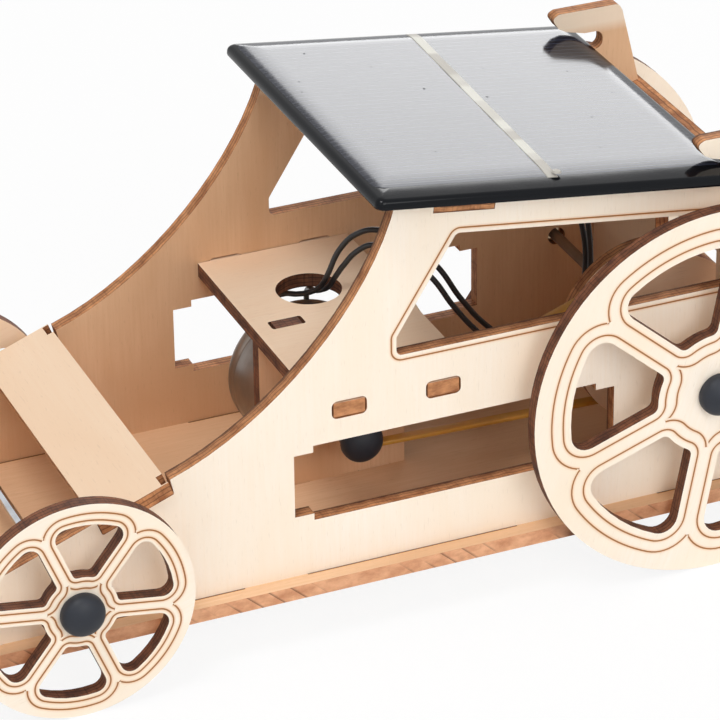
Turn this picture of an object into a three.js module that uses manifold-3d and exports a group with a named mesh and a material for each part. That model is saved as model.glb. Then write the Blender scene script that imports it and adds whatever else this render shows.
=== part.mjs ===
// A toy car kit of laser-cut plywood: a solar panel on its roof feeds a flat motor, whose shaft drives
// the rear axle by a rubber band. Millimetres, +X to the tail, +Y to the far side, +Z up.
// The ground is z = 0, and the group is centred over its wheels and panel.
// Inside the group x starts at the front end of the long slot in the side panels.
import * as THREE from "three";
import { mergeVertices } from "three/addons/utils/BufferGeometryUtils.js";
import Module from "manifold-3d";

const wasm = await Module();
wasm.setup();

// Driving dimensions of the whole kit
const plyThickness = 3.1;
const bodyWidth = 70.2;
const slipGap = 0.15; // a tab in its slot, and a piece on its shaft
const seatGap = 0.3; // a piece that lies in a tilted seat
const stackGap = 0.1; // layers laid on each other
const cutOverrun = 2; // how far a cutter runs past the faces that it cuts, and a tab into its sheet
const rearWheelRadius = 40.8;
const frontWheelRadius = 23.6;
const rearAxleAhead = 21.918; // ahead of the tail
const frontAxleX = -48.3;
const wheelGap = 2.4; // between the base plate and the wheel beside it

// Steps of the round shapes
const rimSteps = 96;
const discSteps = 72;
const canSteps = 48;
const shaftSteps = 24;
const cornerSteps = 5;
const domeSteps = 4;
const wideArcStepDegrees = 6;
const bandArcStepDegrees = 4;
const tightArcStepDegrees = 15;
const quarterTurnDegrees = 90;
const weldDistance = 1e-4; // vertices closer than this are one vertex
const edgeRoundShare = 0.3; // where the one facet of a rounded edge bends

// Base plate
const deckTopZ = 14.4;
const baseSideMargin = 3.6; // beyond the side panels
const baseFrontX = -75.65;
const baseRearMargin = 1.6;
const baseCornerRadius = 4;

// Side panels
const noseMargin = 4;
const noseHeight = 13;
const noseRadius = 8;
const frontTabSpans = [
  [-69, -61.7],
  [-40, -11.1],
  [2.4, 48.3],
];
const tailTabAhead = 6.45; // ahead of the tail
const tailTabLength = 24;
const screenFootX = -25.9;
const screenFootZ = 42.9;
const screenRoofX = 22.3;
const screenFootHandle = [21.6, 7.4];
const screenRoofHandle = [5.4, 20.9];
const screenSteps = 16;
const backEdgeLeanDegrees = 13.7;

// Long slot in each side panel, with a step at each end
const slotLength = 69.8;
const slotEndLowZ = 28;
const slotEndHighZ = 41.9;
const slotStepLength = 4.1;
const slotStepHeight = 1.5;

// Window in each side panel
const windowSillZ = 59.5;
const windowFrontX = 22.1;
const windowFrontRise = 4.1;
const windowRoofFrontX = 35;
const windowRailDepth = 7.8;
const windowRearMargin = 15.35; // ahead of the back edge, at the sill
const windowCornerRadius = 1.2;

// Solar panel and the roof below it
const panelLength = 79.1;
const panelWidth = 80.3;
const panelThickness = 2.4;
const panelFrontX = 16.24;
const panelUnderFrontZ = 94.46;
const roofSlopeDegrees = 7.46;
const panelCornerRadius = 1.5;
const cellFrontBorder = 1.5;
const cellRearBorder = 1.8;
const cellNearBorder = 4.9;
const cellFarBorder = 1.4;
const cellThickness = 0.45;
const cellCornerRadius = 2.6;
const ribbonFromFront = 40.1;
const ribbonWidth = 2.6;
const ribbonThickness = 0.2;
const ribbonEndOverhang = 0.6;
const solderRadius = 1;
const solderHeight = 0.4;
const solderShoulderShares = [0.8, 0.7]; // shares of its radius and height
const padRadius = 0.9;
const padThickness = 0.5;

// Hook at the tail of each side panel, over the panel's rear edge, measured from that lower edge
const hookReach = 7.6;
const hookRise = 8.8;
const hookBack = 8.9;
// Shares of hookBack and hookRise
const hookBackShares = [[1, 0.82], [0.9, 1]];
// Shares of hookReach and hookRise
const hookBeakShares = [[-0.79, 1], [-1, 0.9], [-0.79, 0.62], [-0.55, 0.51]];
const hookCornerRadius = 1.4;
const throatDepth = 4.3;
const throatRadius = 1.7;
const beakGap = 0.5;

// Cross pieces
const roofBarFrontX = 30.6;
const roofBarLength = 12.9;
const bonnetRearX = -26.47;
const bonnetRearZ = 42.69;
const bonnetSlopeDegrees = 20.8;
const bonnetLength = 15.8;
const bonnetProud = 0.5;
const bonnetNick = 1.4;
const bonnetNickOverhang = 0.2; // beyond the side panels
const rearBarTopZ = 74.6;
const rearBarHeight = 12;
const rearBarProud = 0.8;

// Rear bulkhead
const bulkheadClearance = 4.852; // to the rear bar behind it
const bulkheadTopZ = 70;
const bulkheadTabFootZ = 24;
const bulkheadTabHeight = 14;
const bulkheadDeckTabWidth = 14;
const pulleyBayFarY = 2.6;
const pulleyBaySillZ = 20;
const pulleyBayTopZ = 62;
const pulleyBayNearMargin = 5;

// Motor shelf
const shelfTopZ = 51.8;
const shelfFrontX = 5.8;
const shelfRearX = 39.6;
const shelfTabSpans = [
  [8.6, 15.3],
  [28.75, 35.5],
];
const shelfSlotGap = 0.4;
const shelfSlotRadius = 1.2;
const plateSlotRadius = 0.6;
const shelfHoleX = 22.6;
const shelfHoleY = 11.8;
const shelfHoleRadius = 6.9;

// Motor plate
const motorPlateFrontX = 6;
const motorPlateRearX = 38;
const motorPlateTabSpans = [
  [9.4, 16.4],
  [27.6, 34.6],
];

// Motor
const motorX = 22.4;
const motorZ = 30.2;
const motorRadius = 15.5;
const motorLength = 18.4;
const motorEdgeRound = 1.6;
const motorEndRadius = 12.4;
const motorEndThickness = 1.6;
const bossRadius = 4.6;
const bossReach = 2.6;
const bossBoreDepth = 9;
const terminalWidth = 2.4;
const terminalReach = 3;
const terminalThickness = 0.7;
const terminalSpread = 10;
const terminalRise = 4.3;
const motorShaftRadius = 1;
const motorShaftReach = 16.6;

// Small pulley, cap and band at the motor
const bandPlaneY = -13.75;
const bandWidth = 2.4;
const bandThickness = 1;
const motorPulleyRadius = 1.7;
const motorPulleyFlangeRadius = 3.6;
const motorPulleyFlangeThickness = 1;
const motorPulleyLength = 5.4;
const bandGap = 0.15;

// Driven pulley: three discs on the rear axle
const drivenPulleyRadius = 14.2;
const drivenFlangeRadius = 18.9;

// Axles
const rearAxleRadius = 1.15;
const frontAxleRadius = 1;
const rearAxleHoleGap = 0.85;
const frontAxleHoleGap = 0.55;

// Domed caps
const capRadius = 4.5;
const capHeight = 4;
const capBoreDepth = 2.4;
const capRimHeight = 1.2;

// Rear wheels, and the same for the front wheels
const rearRimWidth = 7.97;
const rearSpokeWidth = 6.3;
const rearHubRadius = 13.45;
const rearWindowOuterRound = 3.6;
const rearWindowInnerRound = 1.6;
const rearNearSpokeDegrees = 19.2;
const rearFarSpokeDegrees = 55.5;
const frontRimWidth = 4.45;
const frontSpokeWidth = 3.7;
const frontHubRadius = 7.7;
const frontWindowOuterRound = 2.2;
const frontWindowInnerRound = 1;
const frontSpokeDegrees = 51.4;
const spokeCount = 6;

// Wires from the motor to the panel, as [x, y, z] points
const wireDiameter = 1.2;
const wireSides = 8;
const wireStepDiameters = 2.2;
const wireARoute = [
  [18, 24, 35.4], [17.9, 24, 38.5], [18, 23.8, 42], [19, 22.8, 45], [20.5, 20.5, 46.9],
  [22, 17, 48.2], [23.6, 13.2, 50.2], [24.6, 10.4, 52.6], [25.4, 9, 55.2], [28.3, 8, 61.8],
  [31.5, 6, 65.5], [34.9, 4.5, 66.2], [40.5, 2.6, 63.6], [46.8, 1, 56.9], [52, 0.6, 48.4],
  [58, 0.6, 40.7], [65, 0.7, 34.9], [72, 0.8, 33.8], [77.4, 0.8, 38.3], [79.9, 0.8, 45],
  [80.5, 0.8, 50.5], [80.2, 0.8, 56], [79.2, 0.8, 61.5], [78.1, 0.8, 70], [77.6, 0.8, 79],
  [77.6, 0.8, 85],
];
const wireBRoute = [
  [26.8, 24, 35.4], [26.9, 24, 38.5], [26.8, 23.8, 42], [26.5, 22.8, 45], [26.2, 20.5, 46.9],
  [26, 17, 48.2], [26.1, 13.2, 50.2], [26.5, 10.4, 52.2], [27.1, 8.7, 54.8], [28.6, 7.6, 57.8],
  [31.3, 6, 61.5], [34.1, 4.6, 62.9], [39.4, 1.6, 60.8], [44.5, -0.8, 55.9], [49.4, -1.4, 48.2],
  [54.4, -1.6, 41.6], [61.5, -1.6, 34.2], [70, -1.3, 31.2], [77.8, -1, 35.6], [80.6, -0.9, 43],
  [80.9, -0.8, 50.5], [80.7, -0.8, 56], [80.1, -0.8, 61.5], [79.3, -0.8, 70], [79, -0.8, 79],
  [79, -0.8, 84.8],
];

// Places worked out from the sizes above
const halfWidth = bodyWidth / 2;
const innerHalf = halfWidth - plyThickness;
const baseHalf = halfWidth + baseSideMargin;
const roofSlope = THREE.MathUtils.degToRad(roofSlopeDegrees);
const bonnetSlope = THREE.MathUtils.degToRad(bonnetSlopeDegrees);
const backLean = THREE.MathUtils.degToRad(backEdgeLeanDegrees);
const deckUnderZ = deckTopZ - plyThickness;
const shelfUnderZ = shelfTopZ - plyThickness;
const frontAxleZ = frontWheelRadius;
const rearAxleZ = rearWheelRadius;
const panelRearX = panelFrontX + panelLength * Math.cos(roofSlope);
const panelUnderRearZ = panelUnderFrontZ - panelLength * Math.sin(roofSlope);
const panelUnderZ = (x) => panelUnderFrontZ - (x - panelFrontX) * Math.tan(roofSlope);
const roofZ = (x) => panelUnderZ(x) - seatGap / Math.cos(roofSlope);
const wheelCentreY = baseHalf + wheelGap + plyThickness / 2;

// Colours and finishes
const finish = (color, roughness, metalness = 0) => ({ color, roughness, metalness });
const birchFinish = finish(0xf0d9b5, 0.6);
const deckFinish = finish(0xe3bd8b, 0.62);
const rubberFinish = finish(0x23272c, 0.45);
const steelFinish = finish(0xc9ccd0, 0.22, 1);
const dullSteelFinish = finish(0x8c8177, 0.4, 0.8);
const boardFinish = finish(0x11151c, 0.18);
const cellFinish = finish(0x4a5161, 0.15, 0.2);
const tinFinish = finish(0xd9d8d2, 0.3, 0.8);
const bandFinish = finish(0xc08a2c, 0.5);
const endCapFinish = finish(0xe8e6e0, 0.5);
const brassFinish = finish(0xc8a24a, 0.35, 0.9);
const wireFinish = finish(0x14161a, 0.5);

// Solids: a closed geometry becomes a manifold, and the finished one a geometry again
function toSolid(geometry) {
  const bare = geometry.index ? geometry.toNonIndexed() : geometry.clone();
  for (const name of Object.keys(bare.attributes)) {
    if (name !== "position") bare.deleteAttribute(name);
  }
  const merged = mergeVertices(bare, weldDistance);
  const triVerts = new Uint32Array(merged.index.array);
  const vertProperties = new Float32Array(merged.attributes.position.array);
  return new wasm.Manifold(new wasm.Mesh({ numProp: 3, vertProperties, triVerts }));
}

function toGeometry(solid) {
  const mesh = solid.getMesh();
  const geometry = new THREE.BufferGeometry();
  geometry.setAttribute("position", new THREE.BufferAttribute(new Float32Array(mesh.vertProperties), 3));
  geometry.setIndex(new THREE.BufferAttribute(new Uint32Array(mesh.triVerts), 1));
  geometry.computeVertexNormals();
  return geometry;
}

const cutAll = (solid, cutters) => cutters.reduce((left, cutter) => left.subtract(cutter), solid);

function piece(name, solid, look) {
  const mesh = new THREE.Mesh(toGeometry(solid), new THREE.MeshStandardMaterial(look));
  mesh.name = name;
  return mesh;
}

// Outlines: each corner is [x, z, radius], and a radius of zero leaves it sharp
function roundCorners(corners) {
  const count = corners.length;
  const points = [];
  corners.forEach(([x, z, radius], i) => {
    const here = new THREE.Vector2(x, z);
    if (!radius) {
      points.push(here);
      return;
    }
    const before = new THREE.Vector2(...corners[(i + count - 1) % count].slice(0, 2)).sub(here);
    const after = new THREE.Vector2(...corners[(i + 1) % count].slice(0, 2)).sub(here);
    const room = Math.min(before.length(), after.length()) / 2;
    before.normalize();
    after.normalize();
    const half = Math.acos(THREE.MathUtils.clamp(before.dot(after), -1, 1)) / 2;
    const setback = Math.min(radius / Math.tan(half), room);
    const size = setback * Math.tan(half);
    const centre = before.clone().add(after).normalize().multiplyScalar(size / Math.sin(half)).add(here);
    const start = here.clone().addScaledVector(before, setback).sub(centre);
    const end = here.clone().addScaledVector(after, setback).sub(centre);
    let sweep = end.angle() - start.angle();
    if (sweep > Math.PI) sweep -= 2 * Math.PI;
    if (sweep < -Math.PI) sweep += 2 * Math.PI;
    for (let k = 0; k <= cornerSteps; k++) {
      const angle = start.angle() + (sweep * k) / cornerSteps;
      points.push(new THREE.Vector2(Math.cos(angle), Math.sin(angle)).multiplyScalar(size).add(centre));
    }
  });
  return points;
}

const rectangle = (x0, z0, x1, z1, radius = 0) =>
  roundCorners([[x0, z0, radius], [x1, z0, radius], [x1, z1, radius], [x0, z1, radius]]);

function arcPoints(x, z, radius, startDegrees, sweepDegrees, stepDegrees = wideArcStepDegrees) {
  const steps = Math.max(1, Math.round(Math.abs(sweepDegrees) / stepDegrees));
  const points = [];
  for (let k = 0; k <= steps; k++) {
    const angle = THREE.MathUtils.degToRad(startDegrees + (sweepDegrees * k) / steps);
    points.push(new THREE.Vector2(x + radius * Math.cos(angle), z + radius * Math.sin(angle)));
  }
  return points;
}

function circlePoints(x, z, radius, steps) {
  return arcPoints(x, z, radius, 0, 360, 360 / steps).slice(0, -1);
}

// A sheet of thickness `depth` inside an outline, growing along +Z of its own plane
function sheet(outline, depth) {
  return new THREE.ExtrudeGeometry(new THREE.Shape(outline), { depth, bevelEnabled: false, steps: 1 });
}

// A sheet with holes standing upright: the outline is in x and z, and it fills y from yLow to yHigh
function standing(outline, holes, yLow, yHigh) {
  const slab = (points, low, high) =>
    toSolid(sheet(points, high - low).rotateX(Math.PI / 2).translate(0, high, 0));
  const cutters = holes.map((hole) => slab(hole, yLow - cutOverrun, yHigh + cutOverrun));
  return cutAll(slab(outline, yLow, yHigh), cutters);
}

// The same lying flat: the outline is in x and y, and it fills z from zLow to zHigh
function lying(outline, holes, zLow, zHigh) {
  const slab = (points, low, high) => toSolid(sheet(points, high - low).translate(0, 0, low));
  const cutters = holes.map((hole) => slab(hole, zLow - cutOverrun, zHigh + cutOverrun));
  return cutAll(slab(outline, zLow, zHigh), cutters);
}

function box(x0, y0, z0, x1, y1, z1) {
  const geometry = new THREE.BoxGeometry(x1 - x0, y1 - y0, z1 - z0);
  return toSolid(geometry.translate((x0 + x1) / 2, (y0 + y1) / 2, (z0 + z1) / 2));
}

// A turned piece on an axis along y through x, z: its profile is [radius, y], from radius 0 to radius 0
function turned(profile, x, z, steps) {
  const points = profile.map(([radius, y]) => new THREE.Vector2(radius, y));
  return toSolid(new THREE.LatheGeometry(points, steps).translate(x, 0, z));
}

function rod(x, z, radius, yLow, yHigh, steps = shaftSteps) {
  return turned([[0, yLow], [radius, yLow], [radius, yHigh], [0, yHigh]], x, z, steps);
}

const widened = (spans, gap) => spans.map(([start, end]) => [start - gap, end + gap]);

// The hook, from its back corner over the top and the beak to the throat at the roof line
function hookCorners() {
  const place = (dx, dz, radius) => [panelRearX + dx, panelUnderRearZ + dz, radius];
  const throatTop = panelThickness + cellThickness + stackGap + beakGap;
  return [
    ...hookBackShares.map(([back, rise]) => place(back * hookBack, rise * hookRise, hookCornerRadius)),
    ...hookBeakShares.map(([reach, rise]) => place(reach * hookReach, rise * hookRise, hookCornerRadius)),
    place(0, throatTop, 0),
    place(throatDepth, throatTop, throatRadius),
    [panelRearX + throatDepth, roofZ(panelRearX + throatDepth), throatRadius],
  ];
}

// Back edge of a side panel: it leans back from the hook down to the rear bar
const backEdgeTopZ = panelUnderRearZ + hookBackShares[0][1] * hookRise;
const backEdgeX = (z) => panelRearX + hookBack + (backEdgeTopZ - z) * Math.tan(backLean);

// Points of the tilted cross pieces, and of the seats that they lie in
function bonnetPoint(along, up) {
  return [
    bonnetRearX - along * Math.cos(bonnetSlope) - up * Math.sin(bonnetSlope),
    bonnetRearZ - along * Math.sin(bonnetSlope) + up * Math.cos(bonnetSlope),
  ];
}

function roofBarPoint(along, down) {
  return [
    roofBarFrontX + along * Math.cos(roofSlope) - down * Math.sin(roofSlope),
    roofZ(roofBarFrontX) - along * Math.sin(roofSlope) - down * Math.cos(roofSlope),
  ];
}

function rearBarPoint(down, inward) {
  const topX = backEdgeX(rearBarTopZ) + rearBarProud;
  return [
    topX + down * Math.sin(backLean) - inward * Math.cos(backLean),
    rearBarTopZ - down * Math.cos(backLean) - inward * Math.sin(backLean),
  ];
}

// The tail goes straight down from the foot of the rear bar, and what is at the rear goes with it
const rearBarFoot = rearBarHeight + slipGap;
const tailX = rearBarPoint(rearBarFoot, rearBarProud)[0];
const baseRearX = tailX + baseRearMargin;
const rearAxleX = tailX - rearAxleAhead;
const bulkheadX = rearBarPoint(0, plyThickness)[0] - bulkheadClearance - plyThickness;
const windowRearX = backEdgeX(windowSillZ) - windowRearMargin;
const sideTabSpans = [...frontTabSpans, [tailX - tailTabAhead - tailTabLength, tailX - tailTabAhead]];
const noseX = baseFrontX + noseMargin;

// Outer outline of a side panel, from the tail's foot over the roof to the nose
function sideOutline() {
  const seatDepth = plyThickness + slipGap;
  const screen = new THREE.CubicBezierCurve(
    new THREE.Vector2(screenRoofX, roofZ(screenRoofX)),
    new THREE.Vector2(screenRoofX - screenRoofHandle[0], roofZ(screenRoofX) - screenRoofHandle[1]),
    new THREE.Vector2(screenFootX + screenFootHandle[0], screenFootZ + screenFootHandle[1]),
    new THREE.Vector2(screenFootX, screenFootZ),
  );
  const sharp = ([x, z]) => [x, z, 0];
  const bonnetSeatFront = bonnetPoint(bonnetLength + slipGap, 0);
  const noseSlopeZ = bonnetSeatFront[1] - (bonnetSeatFront[0] - noseX) * Math.tan(bonnetSlope);
  const corners = [
    [tailX, deckTopZ, 0],
    sharp(rearBarPoint(rearBarFoot, rearBarProud)),
    sharp(rearBarPoint(rearBarFoot, seatDepth)),
    sharp(rearBarPoint(-slipGap, seatDepth)),
    sharp(rearBarPoint(-slipGap, rearBarProud)),
    ...hookCorners(),
    sharp(roofBarPoint(roofBarLength + slipGap, 0)),
    sharp(roofBarPoint(roofBarLength + slipGap, seatDepth)),
    sharp(roofBarPoint(-slipGap, seatDepth)),
    sharp(roofBarPoint(-slipGap, 0)),
    ...screen.getPoints(screenSteps).map((point) => [point.x, point.y, 0]),
    sharp(bonnetPoint(-slipGap, -seatDepth)),
    sharp(bonnetPoint(bonnetLength + slipGap, -seatDepth)),
    sharp(bonnetSeatFront),
    [noseX, Math.min(deckTopZ + noseHeight, noseSlopeZ), noseRadius],
    [noseX, deckTopZ, 0],
  ];
  return roundCorners(corners);
}

function windowOutline() {
  const railZ = (x) => roofZ(x) - windowRailDepth / Math.cos(roofSlope);
  const roofRearX = windowRearX - (railZ(windowRearX) - windowSillZ) * Math.tan(backLean);
  return roundCorners([
    [windowFrontX, windowSillZ, windowCornerRadius],
    [windowRearX, windowSillZ, windowCornerRadius],
    [roofRearX, railZ(roofRearX), windowCornerRadius],
    [windowRoofFrontX, railZ(windowRoofFrontX), windowCornerRadius],
    [windowFrontX, windowSillZ + windowFrontRise, windowCornerRadius],
  ]);
}

function slotOutline() {
  const left = 0;
  const right = slotLength;
  const low = slotEndLowZ;
  const high = slotEndHighZ;
  return [
    [left, low], [slotStepLength, low], [slotStepLength, low - slotStepHeight],
    [right - slotStepLength, low - slotStepHeight], [right - slotStepLength, low], [right, low],
    [right, high], [right - slotStepLength, high], [right - slotStepLength, high + slotStepHeight],
    [slotStepLength, high + slotStepHeight], [slotStepLength, high], [left, high],
  ].map(([x, z]) => new THREE.Vector2(x, z));
}

// A side panel: one sheet with its slot, window, shelf slots, bulkhead slot and axle holes
function sidePanel(name, side) {
  const yLow = Math.min(side * innerHalf, side * halfWidth);
  const yHigh = yLow + plyThickness;
  const slotLowZ = shelfUnderZ - shelfSlotGap;
  const slotHighZ = shelfTopZ + shelfSlotGap;
  const shelfSlots = widened(shelfTabSpans, shelfSlotGap).map(([start, end]) =>
    rectangle(start, slotLowZ, end, slotHighZ, shelfSlotRadius));
  const bulkheadSlot = rectangle(
    bulkheadX - slipGap, bulkheadTabFootZ - slipGap,
    bulkheadX + plyThickness + slipGap, bulkheadTabFootZ + bulkheadTabHeight + slipGap);
  const holes = [
    slotOutline(),
    windowOutline(),
    ...shelfSlots,
    bulkheadSlot,
    circlePoints(rearAxleX, rearAxleZ, rearAxleRadius + rearAxleHoleGap, shaftSteps),
    circlePoints(frontAxleX, frontAxleZ, frontAxleRadius + frontAxleHoleGap, shaftSteps),
  ];
  const panel = standing(sideOutline(), holes, yLow, yHigh);
  const tabs = sideTabSpans.map(([start, end]) =>
    box(start, yLow, deckUnderZ, end, yHigh, deckTopZ + cutOverrun));
  return piece(name, wasm.Manifold.union([panel, ...tabs]), birchFinish);
}

// The base plate, slotted for the tabs of what stands on it
function basePlate() {
  const outline = rectangle(baseFrontX, -baseHalf, baseRearX, baseHalf, baseCornerRadius);
  const slots = [];
  for (const side of [-1, 1]) {
    const yMid = side * (halfWidth - plyThickness / 2);
    const reach = plyThickness / 2 + slipGap;
    for (const [start, end] of widened(sideTabSpans, slipGap)) {
      slots.push(rectangle(start, yMid - reach, end, yMid + reach));
    }
  }
  for (const [start, end] of widened(motorPlateTabSpans, slipGap)) {
    slots.push(rectangle(start, -plyThickness / 2 - slipGap, end, plyThickness / 2 + slipGap));
  }
  const tabHalf = bulkheadDeckTabWidth / 2 + slipGap;
  const bulkheadLow = bulkheadX - slipGap;
  const bulkheadHigh = bulkheadX + plyThickness + slipGap;
  for (const yMid of bulkheadDeckTabs()) {
    slots.push(rectangle(bulkheadLow, yMid - tabHalf, bulkheadHigh, yMid + tabHalf));
  }
  return piece("base_plate", lying(outline, slots, deckUnderZ, deckTopZ), deckFinish);
}

// The bonnet plate lies in a notch of both side panels, nicked at its corners
function bonnetPlate() {
  const half = halfWidth + bonnetProud;
  const nickOuter = halfWidth + bonnetNickOverhang;
  const outline = [
    [0, -half], [bonnetLength, -half], [bonnetLength, half], [0, half],
    [0, nickOuter], [bonnetNick, nickOuter], [bonnetNick, innerHalf], [0, innerHalf],
    [0, -innerHalf], [bonnetNick, -innerHalf], [bonnetNick, -nickOuter], [0, -nickOuter],
  ].map(([along, y]) => new THREE.Vector2(-along, y));
  const geometry = sheet(outline.reverse(), plyThickness)
    .translate(0, 0, -plyThickness)
    .rotateY(-bonnetSlope)
    .translate(bonnetRearX, 0, bonnetRearZ);
  return piece("bonnet_plate", toSolid(geometry), birchFinish);
}

// The roof bar ties the two side panels under the solar panel
function roofBar() {
  const [x, z] = roofBarPoint(0, plyThickness);
  const geometry = sheet(rectangle(0, -halfWidth, roofBarLength, halfWidth), plyThickness);
  return piece("roof_bar", toSolid(geometry.rotateY(roofSlope).translate(x, 0, z)), birchFinish);
}

// The rear bar leans in the notches of both back edges
function rearBar() {
  const outline = [
    rearBarPoint(0, 0), rearBarPoint(rearBarHeight, 0),
    rearBarPoint(rearBarHeight, plyThickness), rearBarPoint(0, plyThickness),
  ].map(([x, z]) => new THREE.Vector2(x, z));
  return piece("rear_bar", standing(outline, [], -halfWidth, halfWidth), birchFinish);
}

const bulkheadDeckTabs = () => {
  const farTab = (pulleyBayFarY + innerHalf) / 2;
  return [farTab, -farTab];
};

// The bulkhead stands behind the rear axle, open round the driven pulley
function rearBulkhead() {
  const bayNearY = bandPlaneY - 2 * plyThickness - pulleyBayNearMargin;
  const half = innerHalf - slipGap;
  const board = box(bulkheadX, -half, deckTopZ, bulkheadX + plyThickness, half, bulkheadTopZ);
  const bay = box(
    bulkheadX - cutOverrun, bayNearY, pulleyBaySillZ,
    bulkheadX + plyThickness + cutOverrun, pulleyBayFarY, pulleyBayTopZ);
  const ears = box(
    bulkheadX, -halfWidth, bulkheadTabFootZ,
    bulkheadX + plyThickness, halfWidth, bulkheadTabFootZ + bulkheadTabHeight);
  const feet = bulkheadDeckTabs().map((yMid) => box(
    bulkheadX, yMid - bulkheadDeckTabWidth / 2, deckUnderZ,
    bulkheadX + plyThickness, yMid + bulkheadDeckTabWidth / 2, deckTopZ + cutOverrun));
  const solid = wasm.Manifold.union([board, ears, ...feet]).subtract(bay);
  return piece("rear_bulkhead", solid, birchFinish);
}

// The shelf above the motor, with tabs through both side panels
function motorShelf() {
  const half = innerHalf - slipGap;
  const slotHalf = plyThickness / 2 + slipGap;
  const slots = widened(motorPlateTabSpans, slipGap).map(([start, end]) =>
    rectangle(start, -slotHalf, end, slotHalf, plateSlotRadius));
  const hole = circlePoints(shelfHoleX, shelfHoleY, shelfHoleRadius, canSteps);
  const outline = rectangle(shelfFrontX, -half, shelfRearX, half);
  const board = lying(outline, [hole, ...slots], shelfUnderZ, shelfTopZ);
  const tabs = [];
  for (const [start, end] of shelfTabSpans) {
    tabs.push(box(start, -halfWidth, shelfUnderZ, end, cutOverrun - half, shelfTopZ));
    tabs.push(box(start, half - cutOverrun, shelfUnderZ, end, halfWidth, shelfTopZ));
  }
  return piece("motor_shelf", wasm.Manifold.union([board, ...tabs]), birchFinish);
}

// The motor plate stands between deck and shelf and holds the motor by its boss
function motorPlate() {
  const yLow = -plyThickness / 2;
  const yHigh = plyThickness / 2;
  const hole = circlePoints(motorX, motorZ, bossRadius + slipGap, canSteps);
  const outline = rectangle(motorPlateFrontX, deckTopZ, motorPlateRearX, shelfUnderZ - slipGap);
  const board = standing(outline, [hole], yLow, yHigh);
  const tabs = [];
  for (const [start, end] of motorPlateTabSpans) {
    tabs.push(box(start, yLow, deckUnderZ, end, yHigh, deckTopZ + cutOverrun));
    tabs.push(box(
      start + plateSlotRadius, yLow, shelfUnderZ - cutOverrun, end - plateSlotRadius, yHigh, shelfTopZ));
  }
  return piece("motor_plate", wasm.Manifold.union([board, ...tabs]), deckFinish);
}

// Motor: a flat steel can with its boss, a plastic end with two terminals, and the turning shaft
const motorFaceY = plyThickness / 2 + slipGap;
const motorBackY = motorFaceY + motorLength;
const bossFaceY = motorFaceY - plyThickness - bossReach;

function motorPieces() {
  const bore = motorShaftRadius + slipGap;
  const endSeatDepth = motorEndThickness / 2;
  const can = turned([
    [0, bossFaceY + bossBoreDepth], [bore, bossFaceY + bossBoreDepth], [bore, bossFaceY],
    [bossRadius, bossFaceY], [bossRadius, motorFaceY], [motorRadius - motorEdgeRound, motorFaceY],
    [motorRadius - motorEdgeRound * edgeRoundShare, motorFaceY + motorEdgeRound * edgeRoundShare],
    [motorRadius, motorFaceY + motorEdgeRound], [motorRadius, motorBackY - motorEdgeRound * edgeRoundShare],
    [motorRadius - motorEdgeRound * edgeRoundShare, motorBackY],
    [motorEndRadius + slipGap, motorBackY], [motorEndRadius + slipGap, motorBackY - endSeatDepth],
    [0, motorBackY - endSeatDepth],
  ], motorX, motorZ, canSteps);
  const endLowY = motorBackY - endSeatDepth + stackGap;
  const endHighY = endLowY + motorEndThickness;
  const terminals = [-1, 1].map((side) => {
    const x = motorX + (side * terminalSpread) / 2;
    const z = motorZ + terminalRise;
    const low = endHighY + stackGap;
    return box(
      x - terminalWidth / 2, low, z - terminalThickness / 2,
      x + terminalWidth / 2, low + terminalReach, z + terminalThickness / 2);
  });
  return [
    piece("motor_can", can, steelFinish),
    piece("motor_end_cap", rod(motorX, motorZ, motorEndRadius, endLowY, endHighY, canSteps), endCapFinish),
    piece("motor_terminal_a", terminals[0], brassFinish),
    piece("motor_terminal_b", terminals[1], brassFinish),
  ];
}

// What turns with the motor: shaft, small flanged pulley and the cap that keeps the band on it
function rotorPieces() {
  const shaftTipY = -motorShaftReach;
  const shaftRootY = bossFaceY + bossBoreDepth - slipGap;
  const bore = motorShaftRadius + slipGap;
  const pulleyLowY = bandPlaneY - motorPulleyLength / 2;
  const pulleyHighY = bandPlaneY + motorPulleyLength / 2;
  const flangeLowY = bandPlaneY + bandWidth / 2 + bandGap;
  const flangeHighY = flangeLowY + motorPulleyFlangeThickness;
  const body = turned([
    [0, pulleyLowY], [motorPulleyRadius, pulleyLowY], [motorPulleyRadius, flangeLowY],
    [motorPulleyFlangeRadius, flangeLowY], [motorPulleyFlangeRadius, flangeHighY],
    [motorPulleyRadius, flangeHighY], [motorPulleyRadius, pulleyHighY], [0, pulleyHighY],
  ], motorX, motorZ, shaftSteps);
  const hole = rod(motorX, motorZ, bore, pulleyLowY - cutOverrun, pulleyHighY + cutOverrun);
  const cap = domedCap("motor_cap", motorX, motorZ, bandPlaneY - bandWidth / 2 - bandGap, -1,
    motorPulleyRadius, motorShaftReach + bandPlaneY - bandWidth / 2 + slipGap);
  return [
    piece("motor_shaft", rod(motorX, motorZ, motorShaftRadius, shaftTipY, shaftRootY), steelFinish),
    piece("motor_pulley", body.subtract(hole), dullSteelFinish),
    cap,
  ];
}

// A domed rubber cap whose flat face is at y, with a blind bore for what it sits on
function domedCap(name, x, z, faceY, side, shaftRadius, boreDepth) {
  const bore = shaftRadius + slipGap;
  const profile = [[0, boreDepth], [bore, boreDepth], [bore, 0], [capRadius, 0], [capRadius, capRimHeight]];
  const domeHeight = capHeight - capRimHeight;
  for (let k = 1; k < domeSteps; k++) {
    const angle = (k / domeSteps) * (Math.PI / 2);
    profile.push([capRadius * Math.cos(angle), capRimHeight + domeHeight * Math.sin(angle)]);
  }
  profile.push([0, capHeight]);
  const placed = profile.map(([radius, y]) => [radius, faceY + side * y]);
  return piece(name, turned(side > 0 ? placed : placed.reverse(), x, z, shaftSteps), rubberFinish);
}

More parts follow.
